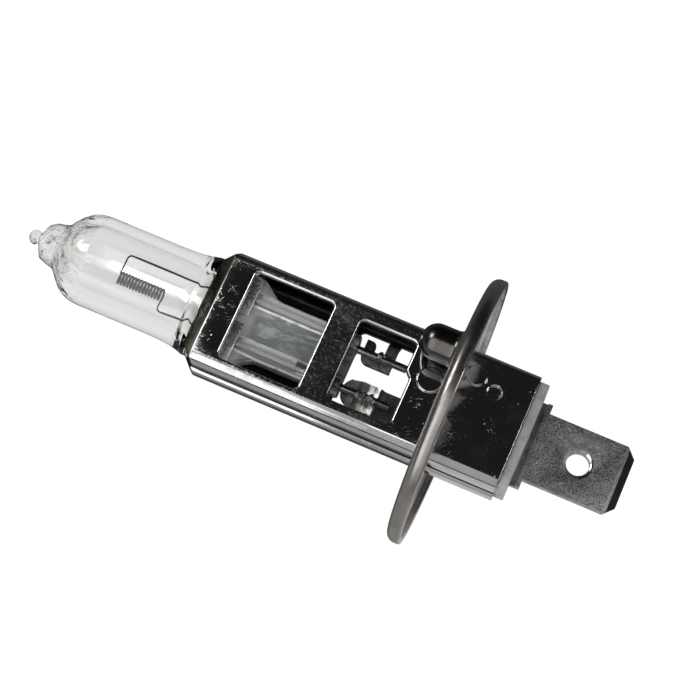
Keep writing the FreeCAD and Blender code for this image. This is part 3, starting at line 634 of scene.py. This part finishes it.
class Finish(Enum):
    """The finishes of the lamp's pieces."""

    QUARTZ = QuartzFinish("clear_quartz")
    PRESSED = PressedQuartzFinish("pressed_quartz", (0.72, 0.76, 0.73), (0.34, 0.37, 0.35))
    TUNGSTEN = MetalFinish(
        "drawn_tungsten", (0.030, 0.029, 0.028), (0.015, 0.015, 0.015), polish=0.28,
        haze=0.42, patch=0.4, scratched=0.1, specked=0.05, bright=0.1)
    OVERWIND = MetalFinish(
        "overwind_tungsten", (0.07, 0.068, 0.065), (0.035, 0.035, 0.035), polish=0.30,
        haze=0.45, patch=0.4, scratched=0.1, specked=0.05, bright=0.15)
    FOIL = MetalFinish(
        "molybdenum_foil", (0.80, 0.80, 0.78), (0.50, 0.51, 0.49), polish=0.22, haze=0.4,
        patch=0.5, scratched=0.4, specked=0.3, pitted=0.07, ripple=0.05)
    PIN = MetalFinish(
        "molybdenum_pin", (0.26, 0.25, 0.24), (0.10, 0.095, 0.09), polish=0.18, haze=0.36,
        patch=0.7, scratched=0.3, specked=0.1)
    WELD = MetalFinish(
        "weld_bead", (0.30, 0.29, 0.28), (0.08, 0.078, 0.075), polish=0.20, haze=0.42,
        patch=0.4, scratched=0.3, specked=0.2, pitted=0.02)
    STRIP = MetalFinish(
        "bright_strip", (0.70, 0.69, 0.67), (0.42, 0.41, 0.40), polish=0.32, haze=0.46,
        patch=0.8, scratched=0.4, specked=0.3, pitted=0.003, ripple=0.006)
    TAB = MetalFinish(
        "dark_tab", (0.24, 0.235, 0.23), (0.08, 0.08, 0.08), polish=0.26, haze=0.46,
        patch=0.7, scratched=0.3, specked=0.2, pitted=0.01, ripple=0.03)
    SLEEVE = MetalFinish(
        "plated_sleeve", (0.60, 0.585, 0.58), (0.50, 0.51, 0.52), polish=0.06, haze=0.18,
        patch=3.4, scratched=0.45, specked=0.24, ripple=0.003, rubbed=0.25,
        # painted reflection: the lip ahead of -21.1 mm is darkened to a dark olive
        painted_dark_ends=(-21.1, 99.0), painted_end_colour=(0.07, 0.07, 0.055))
    # painted shade: a near-black copy of the sleeve's plating on the shells' inner side
    SLEEVE_PAINTED_SHADE = MetalFinish(
        "sleeve_inside_painted_shade", (0.035, 0.033, 0.028), (0.02, 0.019, 0.017), polish=0.34, haze=0.5,
        patch=1.6, scratched=0.2, specked=0.1)
    SPRING = MetalFinish(
        "spring_leaf", (0.55, 0.53, 0.52), (0.36, 0.35, 0.35), polish=0.22, haze=0.4,
        patch=1.2, scratched=0.5, specked=0.3)
    FLANGE = MetalFinish(
        "satin_flange", (0.36, 0.34, 0.32), (0.29, 0.275, 0.26), polish=0.26, haze=0.36,
        patch=2.2, scratched=0.12, specked=0.05, ripple=0.002)
    # painted light: a paler copy of the flange's steel inside the dish
    FLANGE_PAINTED_LIGHT = MetalFinish(
        "flange_inside_painted_light", (0.62, 0.61, 0.60), (0.50, 0.49, 0.48), polish=0.3, haze=0.45,
        patch=2.2, scratched=0.12, specked=0.05)
    # painted shade: a darker copy of the flange's steel on the boss
    BOSS_PAINTED_SHADE = MetalFinish(
        "boss_painted_shade", (0.11, 0.105, 0.10), (0.085, 0.08, 0.077), polish=0.20, haze=0.27,
        patch=1.4, scratched=0.1, specked=0.05, ripple=0.001, bright=0.3)
    BLADE = MetalFinish(
        "dull_blade", (0.40, 0.395, 0.39), (0.24, 0.235, 0.23), polish=0.32, haze=0.46,
        patch=1.3, scratched=0.3, specked=0.3, pitted=0.012, ripple=0.004, mottled=0.75,
        # painted shade: the blade is darkened ahead of 2.9 mm and on its tip past 16.35 mm
        bright=0.6, painted_dark_ends=(2.9, 16.35), painted_end_colour=(0.025, 0.025, 0.025))
    # painted highlight: a brighter copy of the blade's metal on the hole's rolled edge
    BLADE_HOLE_HIGHLIGHT = MetalFinish(
        "blade_hole_painted_highlight", (0.7, 0.69, 0.68), (0.6, 0.59, 0.58), polish=0.12, haze=0.2,
        patch=1.0, scratched=0.1, specked=0.0)
    CERAMIC = CeramicFinish("pressed_ceramic", (0.58, 0.58, 0.57), (0.42, 0.42, 0.41))

    def material(self) -> bpy.types.Material:
        """The finish's one material, built when it is first asked for."""
        return bpy.data.materials.get(self.value.name) or self.value.material()


# ---- glass capsule ----

@dataclass
class GlassCapsule:
    """Drawn quartz tube with a sealed tip and a pressed end, hollow round the filament."""

    ring_points: int = 240
    # x and half width, then half thickness where it isn't round, then corner power, mm
    tip: tuple = (
        (-38.85, 0.05), (-38.80, 0.32, 0.26), (-38.55, 0.62, 0.52), (-38.20, 0.68, 0.60),
        (-37.90, 0.50, 0.48), (-37.72, 0.70, 0.68), (-37.50, 1.22, 1.20), (-37.10, 1.68),
        (-36.50, 1.90), (-35.85, 2.04), (-35.45, 2.40), (-34.95, 3.03), (-34.35, 3.58),
        (-33.60, 3.97), (-32.60, 4.11), (-31.00, 4.12), (-28.00, 4.12), (-26.00, 4.12),
        (-24.60, 4.16, 4.12), (-23.70, 4.26, 4.12), (-23.10, 4.38, 4.09),
        (-22.78, 4.48, 3.98), (-22.60, 4.55, 3.74), (-22.46, 4.62, 3.26, 2.05),
        (-22.36, 4.66, 2.50, 2.1), (-22.29, 4.69, 1.78, 2.3), (-22.20, 4.70, 1.38, 2.5),
        (-21.80, 4.70, 1.22, 2.8), (-20.80, 4.70, 1.14, 3.0), (-19.20, 4.60, 1.05, 3.2),
        (-18.00, 4.20, 1.00, 3.4), (-17.00, 3.45, 0.97, 3.8), (-16.20, 2.98, 0.96, 4.5),
        (-15.00, 2.93, 0.95, 5.0), (-11.00, 2.93, 0.95, 5.0), (-8.75, 2.93, 0.95, 5.0),
        (-8.55, 2.80, 0.86, 4.5))
    cavity: tuple = (
        (-36.90, 0.05), (-36.80, 0.34), (-36.30, 0.60), (-35.70, 0.86), (-35.10, 1.42),
        (-34.50, 2.18), (-33.90, 2.74), (-33.10, 3.06), (-32.20, 3.17), (-29.00, 3.17),
        (-26.00, 3.17), (-24.40, 3.17, 3.16), (-23.60, 3.17, 3.16), (-23.20, 3.16, 3.08),
        (-22.98, 3.10, 2.84), (-22.82, 2.98, 2.36), (-22.71, 2.70, 1.64),
        (-22.62, 2.10, 0.88), (-22.57, 1.20, 0.36), (-22.55, 0.05, 0.03))
    ridge_half_width: float = 0.60
    ridge_rise: float = 0.57
    seal_ripple: float = 0.12    # depth of the melted glass's ripples at the tip
    seal_from: tuple = (33.2, 35.4)   # the ripples begin and are full this far ahead, mm
    seal_size: float = 1.1       # size of the ripples, mm
    inner_share: float = 1.6     # how much deeper they are on the gas space
    pressed_from: float = -19.6  # the jaws pressed the glass behind this place

    @staticmethod
    def stations(rows: Sequence[Sequence[float]]) -> list[list[float]]:
        """Smooth run of full stations, each as thick as wide and round where not given."""
        full = [(*row, row[1], 2.0) if len(row) == 2 else (*row, 2.0)[:4] for row in rows]
        return spline(full, 5)

    def ridge(self, x: float, across: float) -> float:
        """Height of the pressed ridges over the web.

        Args:
            x: place along the lamp axis.
            across: distance from the capsule's axis.

        Returns:
            The height in millimetres.
        """
        away = abs(abs(across) - RIDGE_OFFSET) / self.ridge_half_width
        crown = math.sqrt(max(0.0, 1.0 - away ** 2))
        nose = math.sqrt(smoothstep(x, RIDGE_START, RIDGE_START + 0.7))
        return self.ridge_rise * crown * nose

    def ring(self, station: Sequence[float], outer: bool) -> list[Vector]:
        """Section of the glass at one station.

        Args:
            station: x, half width, half thickness and corner power.
            outer: True on the outside, which has the ridges.

        Returns:
            The ring's points, in millimetres.
        """
        x, wide, thick, power = station
        melt = self.seal_ripple * smoothstep(-x, *self.seal_from) * (
            1.0 if outer else self.inner_share)
        points = []
        for index in range(self.ring_points):
            angle = 2.0 * math.pi * index / self.ring_points
            cosine, sine = math.cos(angle), math.sin(angle)
            across = wide * math.copysign(abs(cosine) ** (2.0 / power), cosine)
            up = thick * math.copysign(abs(sine) ** (2.0 / power), sine)
            if outer and x > RIDGE_START:
                up += math.copysign(self.ridge(x, across), up)
            swell = 1.0 + melt / max(wide, 0.6) * wave(
                Vector((x, across * 2, up * 2)), self.seal_size)
            points.append(Vector((x, CAPSULE_Y + across * swell, up * swell)))
        return points

    def build(self) -> None:
        """Make the capsule's outer skin and its gas space as one closed wall."""
        bm = bmesh.new()
        loft(bm, [self.ring(s, True) for s in self.stations(self.tip)], False)
        loft(bm, [self.ring(s, False) for s in self.stations(self.cavity)], True)
        for face in bm.faces:
            face.material_index = int(face.calc_center_median().x > self.pressed_from * MM)
        mesh = bpy.data.meshes.new("quartz_capsule")
        bm.to_mesh(mesh)
        bm.free()
        mesh.shade_smooth()
        mesh.materials.append(Finish.QUARTZ.material())
        mesh.materials.append(Finish.PRESSED.material())
        settle(link("quartz_capsule", mesh), "quartz", "quartz_envelope")


# ---- filament ----

def wound_wire_tree() -> GeometryTree:
    """Tree that winds a wire into a coil along X.

    Returns:
        The tree, with its sizes in metres and degrees.
    """
    tree = GeometryTree("wound_wire", (
        "Turns", "Pitch", "Coil Radius", "Wire Radius", "Start X", "Axis Y", "Phase",
        "Unevenness", "Steps", "Sides"))
    sizes = tree.inputs
    coil = tree.node(
        "GeometryNodeCurveSpiral", Resolution=sizes["Steps"], Rotations=sizes["Turns"],
        Start_Radius=sizes["Coil Radius"], End_Radius=sizes["Coil Radius"],
        Height=tree.times(sizes["Pitch"], sizes["Turns"]))
    turn = tree.node("ShaderNodeCombineXYZ", Z=tree.math("RADIANS", sizes["Phase"]))
    phased = tree.node("GeometryNodeTransform", Geometry=coil.outputs["Curve"],
                       Rotation=turn.outputs[0])
    shift = tree.node("ShaderNodeCombineXYZ", X=sizes["Start X"], Y=sizes["Axis Y"])
    laid = tree.node("GeometryNodeTransform", Geometry=phased.outputs["Geometry"],
                     Translation=shift.outputs[0], Rotation=(0.0, math.pi / 2, 0.0))
    cloud = tree.node("ShaderNodeTexNoise", Scale=0.9 / MM, Detail=1.0)
    centred = tree.node("ShaderNodeVectorMath", {"operation": "SUBTRACT"})
    tree.feed(centred.inputs[0], cloud.outputs["Color"])
    centred.inputs[1].default_value = (0.5, 0.5, 0.5)
    scaled = tree.node("ShaderNodeVectorMath", {"operation": "SCALE"})
    tree.feed(scaled.inputs[0], centred.outputs[0])
    tree.feed(scaled.inputs["Scale"], sizes["Unevenness"])
    uneven = tree.node("GeometryNodeSetPosition", Geometry=laid.outputs["Geometry"],
                       Offset=scaled.outputs[0])
    tree.sweep(uneven.outputs["Geometry"])
    return tree


def bent_wire_tree() -> GeometryTree:
    """Tree that rounds a wire's corners and gives it its thickness.

    Returns:
        The tree, with its sizes in metres.
    """
    tree = GeometryTree("bent_wire", ("Wire Radius", "Bend Radius", "Sides"))
    bent = tree.node("GeometryNodeFilletCurve", {"mode": "POLY"},
                     Curve=tree.inputs["Geometry"], Radius=tree.inputs["Bend Radius"],
                     Limit_Radius=True, Count=10)
    tree.sweep(bent.outputs["Curve"])
    return tree


def wire_path(name: str, points: Sequence[Vector]) -> bpy.types.Curve:
    """Straight runs through points.

    Args:
        name: name of the curve.
        points: corners of the path, in millimetres.

    Returns:
        The curve data.
    """
    path = bpy.data.curves.new(name, "CURVE")
    path.dimensions = "3D"
    run = path.splines.new("POLY")
    run.points.add(len(points) - 1)
    for spot, point in zip(run.points, points):
        spot.co = (*(point * MM), 1.0)
    return path


@dataclass
class Filament:
    """Single tungsten coil, its two legs and the fine wire wound round them."""

    coil_start: float = -30.05
    coil_y: float = -0.3
    pitch: float = 0.295
    turns: float = 14.5
    coil_radius: float = 0.50
    wire_radius: float = 0.105
    leg_radius: float = 0.07
    leg_bend: float = 0.36
    leg_end: float = -18.4
    overwind_radius: float = 0.03
    overwind_pitch: float = 0.17
    overwind_back: float = -19.4
    wound: GeometryTree = field(default_factory=wound_wire_tree)
    bent: GeometryTree = field(default_factory=bent_wire_tree)

    def wind(self, name: str, finish: Finish, sizes: dict[str, float]) -> bpy.types.Object:
        """Wind one wire in a finish, with the sizes that the tree asks for."""
        empty = bpy.data.meshes.new(name + "_empty")
        return self.wound.make(name, empty, finish.material(), sizes)

    def build_coil(self) -> None:
        """Make the coil with its legs."""
        coil = self.wind("filament_turns", Finish.TUNGSTEN, {
            "Turns": self.turns, "Pitch": self.pitch * MM,
            "Coil Radius": self.coil_radius * MM, "Wire Radius": self.wire_radius * MM,
            "Start X": self.coil_start * MM, "Axis Y": self.coil_y * MM, "Phase": 90.0,
            "Unevenness": 0.05 * MM, "Steps": 40, "Sides": 12})
        legs = [coil]
        coil_end = self.coil_start + self.pitch * self.turns
        for name, side, start, lead in (
                ("long", 1.0, self.coil_start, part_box("long_lead_overwind")),
                ("short", -1.0, coil_end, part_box("short_lead_overwind"))):
            lead_y = (lead[0].y + lead[1].y) / 2 / MM
            foot = Vector((start, self.coil_y + side * self.coil_radius, 0.0))
            corner = Vector((start, lead_y, 0.0))
            path = wire_path(name + "_leg_path", (
                foot, corner, Vector((self.leg_end, lead_y, 0.0))))
            legs.append(self.bent.make(name + "_leg", path, Finish.TUNGSTEN.material(), {
                "Wire Radius": self.leg_radius * MM, "Bend Radius": self.leg_bend * MM,
                "Sides": 14}))
        settle(join(legs), "tungsten", "filament_coil")

    def build_overwinds(self) -> None:
        """Wind the fine wire round both legs."""
        for node in ("long_lead_overwind", "short_lead_overwind"):
            low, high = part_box(node)
            piece = self.wind(node.replace("_lead", "_leg"), Finish.OVERWIND, {
                "Turns": (high.x - low.x) / (self.overwind_pitch * MM),
                "Pitch": self.overwind_pitch * MM,
                "Coil Radius": (self.leg_radius + self.overwind_radius * 0.8) * MM,
                "Wire Radius": self.overwind_radius * MM, "Start X": low.x,
                "Axis Y": (low.y + high.y) / 2, "Phase": 0.0,
                "Unevenness": 0.012 * MM, "Steps": 16, "Sides": 6})
            settle(piece, "tungsten_wire", node)

    def build(self) -> None:
        """Make every wire of the filament."""
        self.build_coil()
        self.build_overwinds()


def join(pieces: Sequence[bpy.types.Object]) -> bpy.types.Object:
    """Join several meshes into the first.

    Args:
        pieces: objects at the origin that share their materials.

    Returns:
        The first object.
    """
    bm = bmesh.new()
    for piece in pieces:
        bm.from_mesh(piece.data)
    bm.to_mesh(pieces[0].data)
    bm.free()
    for piece in pieces[1:]:
        bpy.data.objects.remove(piece)
    return pieces[0]


# ---- sheet metal and plates ----

ZoneRule = Callable[[Vector, Vector], bool]    # of a face's place in mm and its normal


@dataclass
class WornNode:
    """A frame node's shape again, welded, with its sharp edges rolled over."""

    node: str
    name: str
    finish: Finish
    slot: str
    edge: float                      # width of a rolled edge, mm
    steps: int = 3
    zones: tuple[tuple[Finish, ZoneRule], ...] = ()   # other finishes and where they are

    SHARP = math.radians(28.0)

    def weld(self) -> bpy.types.Mesh:
        """Copy the node's mesh with its flat faces whole and its edges weighted.

        Returns:
            The new mesh.
        """
        bm = bmesh.new()
        bm.from_mesh(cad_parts[self.node].data)
        bmesh.ops.remove_doubles(bm, verts=bm.verts, dist=0.0005 * MM)
        bmesh.ops.dissolve_limit(bm, angle_limit=math.radians(0.4), verts=bm.verts,
                                 edges=bm.edges, delimit=set())
        weights = bm.edges.layers.float.new("bevel_weight_edge")
        for edge in bm.edges:
            if len(edge.link_faces) == 2 and edge.calc_face_angle(0.0) > self.SHARP:
                edge[weights] = 1.0
        mesh = bpy.data.meshes.new(self.name)
        bm.to_mesh(mesh)
        bm.free()
        mesh.materials.append(self.finish.material())
        return mesh

    def build(self) -> None:
        """Make the worn piece and put it in the node's place."""
        piece = link(self.name, self.weld())
        bevel = piece.modifiers.new("rolled_edges", "BEVEL")
        bevel.width = self.edge * MM
        bevel.segments = self.steps
        bevel.limit_method = "WEIGHT"
        bevel.use_clamp_overlap = False
        mesh = evaluated_mesh(piece)
        piece.modifiers.clear()
        piece.data = mesh
        low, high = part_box(self.node)
        for vert in mesh.vertices:
            vert.co = Vector(max(a, min(b, c)) for a, b, c in zip(low, high, vert.co))
        for index, (finish, rule) in enumerate(self.zones, 1):
            mesh.materials.append(finish.material())
            for face in mesh.polygons:
                if rule(face.center / MM, face.normal):
                    face.material_index = index
        mesh.shade_smooth()
        mesh.set_sharp_from_angle(angle=self.SHARP)
        settle(piece, self.slot, self.node)


@dataclass
class Sleeve:
    """Two drawn half shells and the leaf springs that hold the glass in them."""

    shell_edge: float = 0.04
    leaf_edge: float = 0.05
    hollow: tuple = (5.12, -1.97, 2.27)   # half width, floor and ceiling of the inside, mm

    def is_inside(self, spot: Vector, _normal: Vector) -> bool:
        """Whether a place is on a shell's inner side."""
        half, low, high = self.hollow
        return abs(spot.y) < half and low < spot.z < high

    def build(self) -> None:
        """Make the shells and springs."""
        for side in ("front", "rear"):
            WornNode(side + "_half_shell", side + "_shell_sheet", Finish.SLEEVE,
                     "sleeve_plate", self.shell_edge,
                     zones=((Finish.SLEEVE_PAINTED_SHADE, self.is_inside),)).build()
            WornNode(side + "_pinch_spring", side + "_spring_leaf", Finish.SPRING,
                     "spring_steel", self.leaf_edge).build()


@dataclass
class Flange:
    """Drawn locating flange with its hollow boss."""

    edge: float = 0.02
    dish: tuple = (0.3, 11.55)   # the dish lies behind this and inside this radius, mm
    boss: float = -0.35          # the boss's skin lies ahead of this place, mm

    def is_inside(self, spot: Vector, normal: Vector) -> bool:
        """Whether a face looks into the dish."""
        return spot.x > self.dish[0] and spot.yz.length < self.dish[1] and normal.x > -0.5

    def is_boss(self, spot: Vector, _normal: Vector) -> bool:
        """Whether a face belongs to the boss."""
        return spot.x < self.boss

    def build(self) -> None:
        """Make the flange."""
        WornNode("flange_ring", "locating_flange", Finish.FLANGE, "flange_steel", self.edge,
                 zones=((Finish.FLANGE_PAINTED_LIGHT, self.is_inside),
                        (Finish.BOSS_PAINTED_SHADE, self.is_boss))).build()


@dataclass
class StampedStrip:
    """Contact strip under the lower lead, with cross ribs where the pin is welded."""

    across: int = 16             # cells across
    ease: float = 0.02           # half the length over which one stamp runs into the next
    skin: float = 0.25           # the stamps move what lies this near the front face, mm
    shallow: tuple = (-7.1, -1.3, 0.55)   # behind this x and past this y they lose depth
    stamps: tuple = (
        # from, to, height at from, height at to (below the plate's face), mm
        (-8.40, -7.74, 0.26, 0.02), (-7.74, -7.13, 0.34, 0.34), (-7.13, -6.70, 0.20, 0.05),
        (-6.70, -6.20, 0.00, 0.16), (-6.20, -5.72, 0.18, 0.02), (-5.72, -5.22, 0.00, 0.10))

    SHARP = math.radians(12.0)

    def height(self, x: float) -> float:
        """Depth of the stamped face below the plate's face at a place on the lamp axis."""
        for start, end, first, last in self.stamps:
            if start <= x <= end:
                return first + (last - first) * (x - start) / (end - start)
        return 0.0

    def build(self) -> None:
        """Cut the node's front plate into cells and stamp them."""
        low, high = (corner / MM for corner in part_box("live_strip"))
        mesh = WornNode("live_strip", "live_contact_strip", Finish.STRIP,
                        "strip_metal", 0.0).weld()
        bm = bmesh.new()
        bm.from_mesh(mesh)
        stops = sorted({edge for stamp in self.stamps for edge in stamp[:2]})
        cell = (high.y - low.y) / self.across
        cuts = [(Vector((stop + shift, 0.0, 0.0)), (1.0, 0.0, 0.0))
                for stop in stops for shift in (-self.ease, self.ease)]
        cuts += [(Vector((0.0, low.y + cell * step, 0.0)), (0.0, 1.0, 0.0))
                 for step in range(1, self.across)]
        for place, facing in cuts:
            bmesh.ops.bisect_plane(bm, geom=bm.verts[:] + bm.edges[:] + bm.faces[:],
                                   plane_co=place * MM, plane_no=facing, dist=1e-7)
        back, edge, share = self.shallow
        for vert in bm.verts:
            spot = vert.co / MM
            dent = self.height(spot.x) * (1.0 if spot.x < back or spot.y < edge else share)
            if dent > 0.0 and spot.z > high.z - self.skin:
                vert.co.z -= (dent + 0.02 * wave(spot, 0.5)) * MM
        bm.to_mesh(mesh)
        bm.free()
        mesh.set_sharp_from_angle(angle=self.SHARP)
        settle(link("live_contact_strip", mesh), "strip_metal", "live_strip")


@dataclass
class WeldBeads:
    """Lumps of melted metal where the lead pins are welded to the strips."""

    lumps: tuple = (
        # x, y, z, half length, half width, half height, mm
        (-6.42, 2.06, 0.16, 0.34, 0.50, 0.26), (-6.05, 2.22, 0.12, 0.20, 0.28, 0.22),
        (-6.85, -1.74, 0.20, 0.30, 0.36, 0.22), (-6.35, -1.82, 0.22, 0.36, 0.44, 0.26),
        (-5.75, -1.72, 0.18, 0.34, 0.38, 0.24), (-5.35, -1.80, 0.14, 0.22, 0.30, 0.20))
    bulge: float = 0.38          # how much their bulges stand out, as a share of their size
    bulge_size: float = 0.42     # size of the bulges, mm

    def build(self) -> None:
        """Make the lumps as one mesh."""
        bm = bmesh.new()
        for x, y, z, long, wide, high in self.lumps:
            made = bmesh.ops.create_icosphere(bm, subdivisions=4, radius=1.0)
            for vert in made["verts"]:
                shape = Vector((vert.co.x * long, vert.co.y * wide, vert.co.z * high))
                centre = Vector((x, y, z))
                rough = 1.0 + self.bulge * wave(centre + shape * 1.4, self.bulge_size)
                vert.co = (centre + shape * rough) * MM
        mesh = bpy.data.meshes.new("weld_beads")
        bm.to_mesh(mesh)
        bm.free()
        mesh.shade_smooth()
        mesh.materials.append(Finish.WELD.material())
        settle(link("weld_beads", mesh), "molybdenum")


@dataclass
class TerminalEnd:
    """Blade, ceramic plates, contact strips, lead pins and foils."""

    hole: float = 12.7           # place of the blade's hole, mm
    highlight_reach: float = 1.32     # its painted highlight lies inside this radius, mm
    highlight_back: float = 0.4       # and this far behind its middle, mm
    highlight_slope: tuple = (0.1, 0.985)   # least and most that a highlighted face looks up

    def is_hole_highlight(self, spot: Vector, normal: Vector) -> bool:
        """Whether a face is on the upper edge of the blade's hole, where a highlight is
        painted.
        """
        back = spot.x - self.hole
        return (back > self.highlight_back and math.hypot(back, spot.y) < self.highlight_reach
                and self.highlight_slope[0] < normal.z < self.highlight_slope[1])

    def build(self) -> None:
        """Make the pieces behind and inside the sleeve."""
        WornNode("terminal_blade", "contact_blade", Finish.BLADE, "blade_plate", 0.05,
                 zones=((Finish.BLADE_HOLE_HIGHLIGHT, self.is_hole_highlight),)).build()
        for side in ("front", "rear"):
            WornNode(side + "_insulator", side + "_ceramic", Finish.CERAMIC,
                     "ceramic_plate", 0.12).build()
        StampedStrip().build()
        WornNode("ground_tab", "earth_contact_tab", Finish.TAB, "strip_metal",
                 0.04).build()
        for side in ("upper", "lower"):
            WornNode(side + "_lead_pin", side + "_outer_lead", Finish.PIN, "molybdenum",
                     0.05).build()
            WornNode(side + "_foil", side + "_seal_foil", Finish.FOIL, "molybdenum_foil",
                     0.015, steps=1).build()
        WeldBeads().build()


# ---- studio ----

@dataclass(frozen=True)
class Softbox:
    """One rectangular soft light that faces the lamp."""

    name: str
    place: tuple[float, float, float]   # metres
    width: float
    height: float
    radiance: float
    square: bool = False                # True where it faces the X axis squarely

    def build(self) -> None:
        """Add the light."""
        light = bpy.data.lights.new(self.name, "AREA")
        light.shape = "RECTANGLE"
        light.size = self.width
        light.size_y = self.height
        light.energy = self.radiance * math.pi * self.width * self.height
        lamp = link(self.name, light)
        lamp.visible_camera = False
        place = Vector(self.place)
        aim = Vector((place.x, 0.0, 0.0)) if self.square else Vector()
        lamp.matrix_world = look_at(place, aim, Vector((1.0, 0.0, 0.0)), 90.0)


def look_at(eye: Vector, aim: Vector, upward: Vector, roll: float) -> Matrix:
    """Matrix of something at eye that looks at aim along its -Z.

    Args:
        eye: its place.
        aim: what it looks at.
        upward: direction that is up before the roll.
        roll: turn of its up direction towards its right, in degrees.

    Returns:
        The matrix.
    """
    ahead = (aim - eye).normalized()
    flat_up = (upward - ahead * upward.dot(ahead)).normalized()
    flat_right = ahead.cross(flat_up)
    angle = math.radians(roll)
    up = flat_up * math.cos(angle) + flat_right * math.sin(angle)
    right = ahead.cross(up)
    turn = Matrix((right, up, -ahead)).transposed().to_4x4()
    return Matrix.Translation(eye) @ turn


@dataclass
class Studio:
    """Pale floor, soft lights and the camera."""

    eye: Vector = field(default_factory=lambda: Vector((10.06, -55.51, 179.80)))
    aim: Vector = field(default_factory=lambda: Vector((-9.06, 1.68, 0.0)))
    roll: float = -24.47
    lens: float = 113.14
    sensor: float = 36.0
    floor_half: float = 0.8      # metres
    softboxes: tuple = (
        Softbox("side_box", (-0.234, -0.268, 0.297), 0.373, 0.62, 1.9, True),
        Softbox("side_fill", (0.142, -0.268, 0.297), 0.377, 0.62, 0.5, True),
        Softbox("tip_box", (-0.36, 0.09, 0.34), 0.13, 0.18, 9.0),
        Softbox("tip_fill", (-0.46, 0.10, 0.26), 0.30, 0.50, 0.14),
        Softbox("blade_box", (0.38, 0.09, 0.32), 0.12, 0.20, 8.0))

    def build_floor(self) -> None:
        """Add the pale floor just under the flange."""
        half = self.floor_half
        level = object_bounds()[0][2] - 0.02 * MM
        mesh = bpy.data.meshes.new("pale_floor")
        mesh.from_pydata([(-half, -half, level), (half, -half, level),
                          (half, half, level), (-half, half, level)], [], [(0, 1, 2, 3)])
        floor = link("pale_floor", mesh)
        shade = ShaderTree("pale_floor")
        x, y, _z = shade.axes()
        # what the metal mirrors: paler beyond the flange and far to the side
        behind = shade.times(shade.ramp(x, -1.0, 3.0, 0.0, 0.6),
                             shade.ramp(y, 8.5, 13.0, 1.0, 0.0))
        mirrored = shade.larger(behind, shade.ramp(y, -17.0, -9.5, 0.34, 0.015))
        # what shows through the glass: the lamp's soft shadow, fading with distance, and
        # the bright line that the tube focuses beside it
        shadow = shade.ramp(shade.away(y, 2.7), 0.6, 1.6, 0.74, 1.0)
        distance = shade.node("ShaderNodeVectorMath", {"operation": "LENGTH"},
                              Vector=shade.spot()).outputs["Value"]
        middle = shade.ramp(x, -27.0, -24.8, 4.50, 3.95)
        focus = shade.times(shade.ramp(shade.away(y, middle), 0.52, 0.80, 0.62, 0.0),
                            shade.times(shade.ramp(x, -34.6, -33.2),
                                        shade.ramp(x, -23.4, -22.4, 1.0, 0.0)))
        through = shade.plus(
            focus, shade.times(shadow, shade.ramp(distance, 45.0, 110.0, 0.73, 0.06)))
        path = shade.node("ShaderNodeLightPath").outputs
        glow = shade.choose(path["Is Transmission Ray"], mirrored, through)
        shade.surface(Base_Color=(0.12, 0.12, 0.12, 1.0), Roughness=1.0,
                      Emission_Color=(1.0, 0.997, 0.992, 1.0),
                      Emission_Strength=shade.choose(path["Is Camera Ray"], glow, 0.98))
        mesh.materials.append(shade.material)
        floor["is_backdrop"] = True

    def build_world(self) -> None:
        """Make the room nearly black in the metal, dim through the glass and pale to the
        camera.
        """
        world = bpy.data.worlds.new("dim_room")
        world.use_nodes = True
        room = NodeTree(world.node_tree)
        path = room.node("ShaderNodeLightPath").outputs
        seen = room.plus(path["Is Camera Ray"], path["Is Transmission Ray"], 0.05)
        strength = room.node("ShaderNodeMapRange", Value=seen, To_Min=0.016, To_Max=0.98)
        background = room.tree.nodes["Background"].inputs
        room.feed(background["Color"], (1.0, 0.99, 0.985, 1.0))
        room.feed(background["Strength"], strength.outputs["Result"])
        bpy.context.scene.world = world

    def build_camera(self) -> None:
        """Add the camera and make it the scene's."""
        data = bpy.data.cameras.new("view")
        data.lens = self.lens
        data.sensor_width = self.sensor
        data.clip_start = 0.005
        data.clip_end = 10.0
        camera = link("view", data)
        camera.matrix_world = look_at(self.eye * MM, self.aim * MM,
                                      Vector((0.0, 1.0, 0.0)), self.roll)
        bpy.context.scene.camera = camera

    def build(self) -> None:
        """Set up floor, lights, surroundings and camera."""
        self.build_floor()
        for box in self.softboxes:
            box.build()
        self.build_world()
        bpy.context.scene.view_settings.view_transform = "Standard"
        self.build_camera()


def main() -> None:
    """Build the studio, then the lamp's pieces in order."""
    logging.basicConfig(level=logging.INFO, format="%(name)s: %(message)s")
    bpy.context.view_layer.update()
    Studio().build()
    GlassCapsule().build()
    Filament().build()
    Sleeve().build()
    Flange().build()
    TerminalEnd().build()


if __name__ == "__main__":
    main()
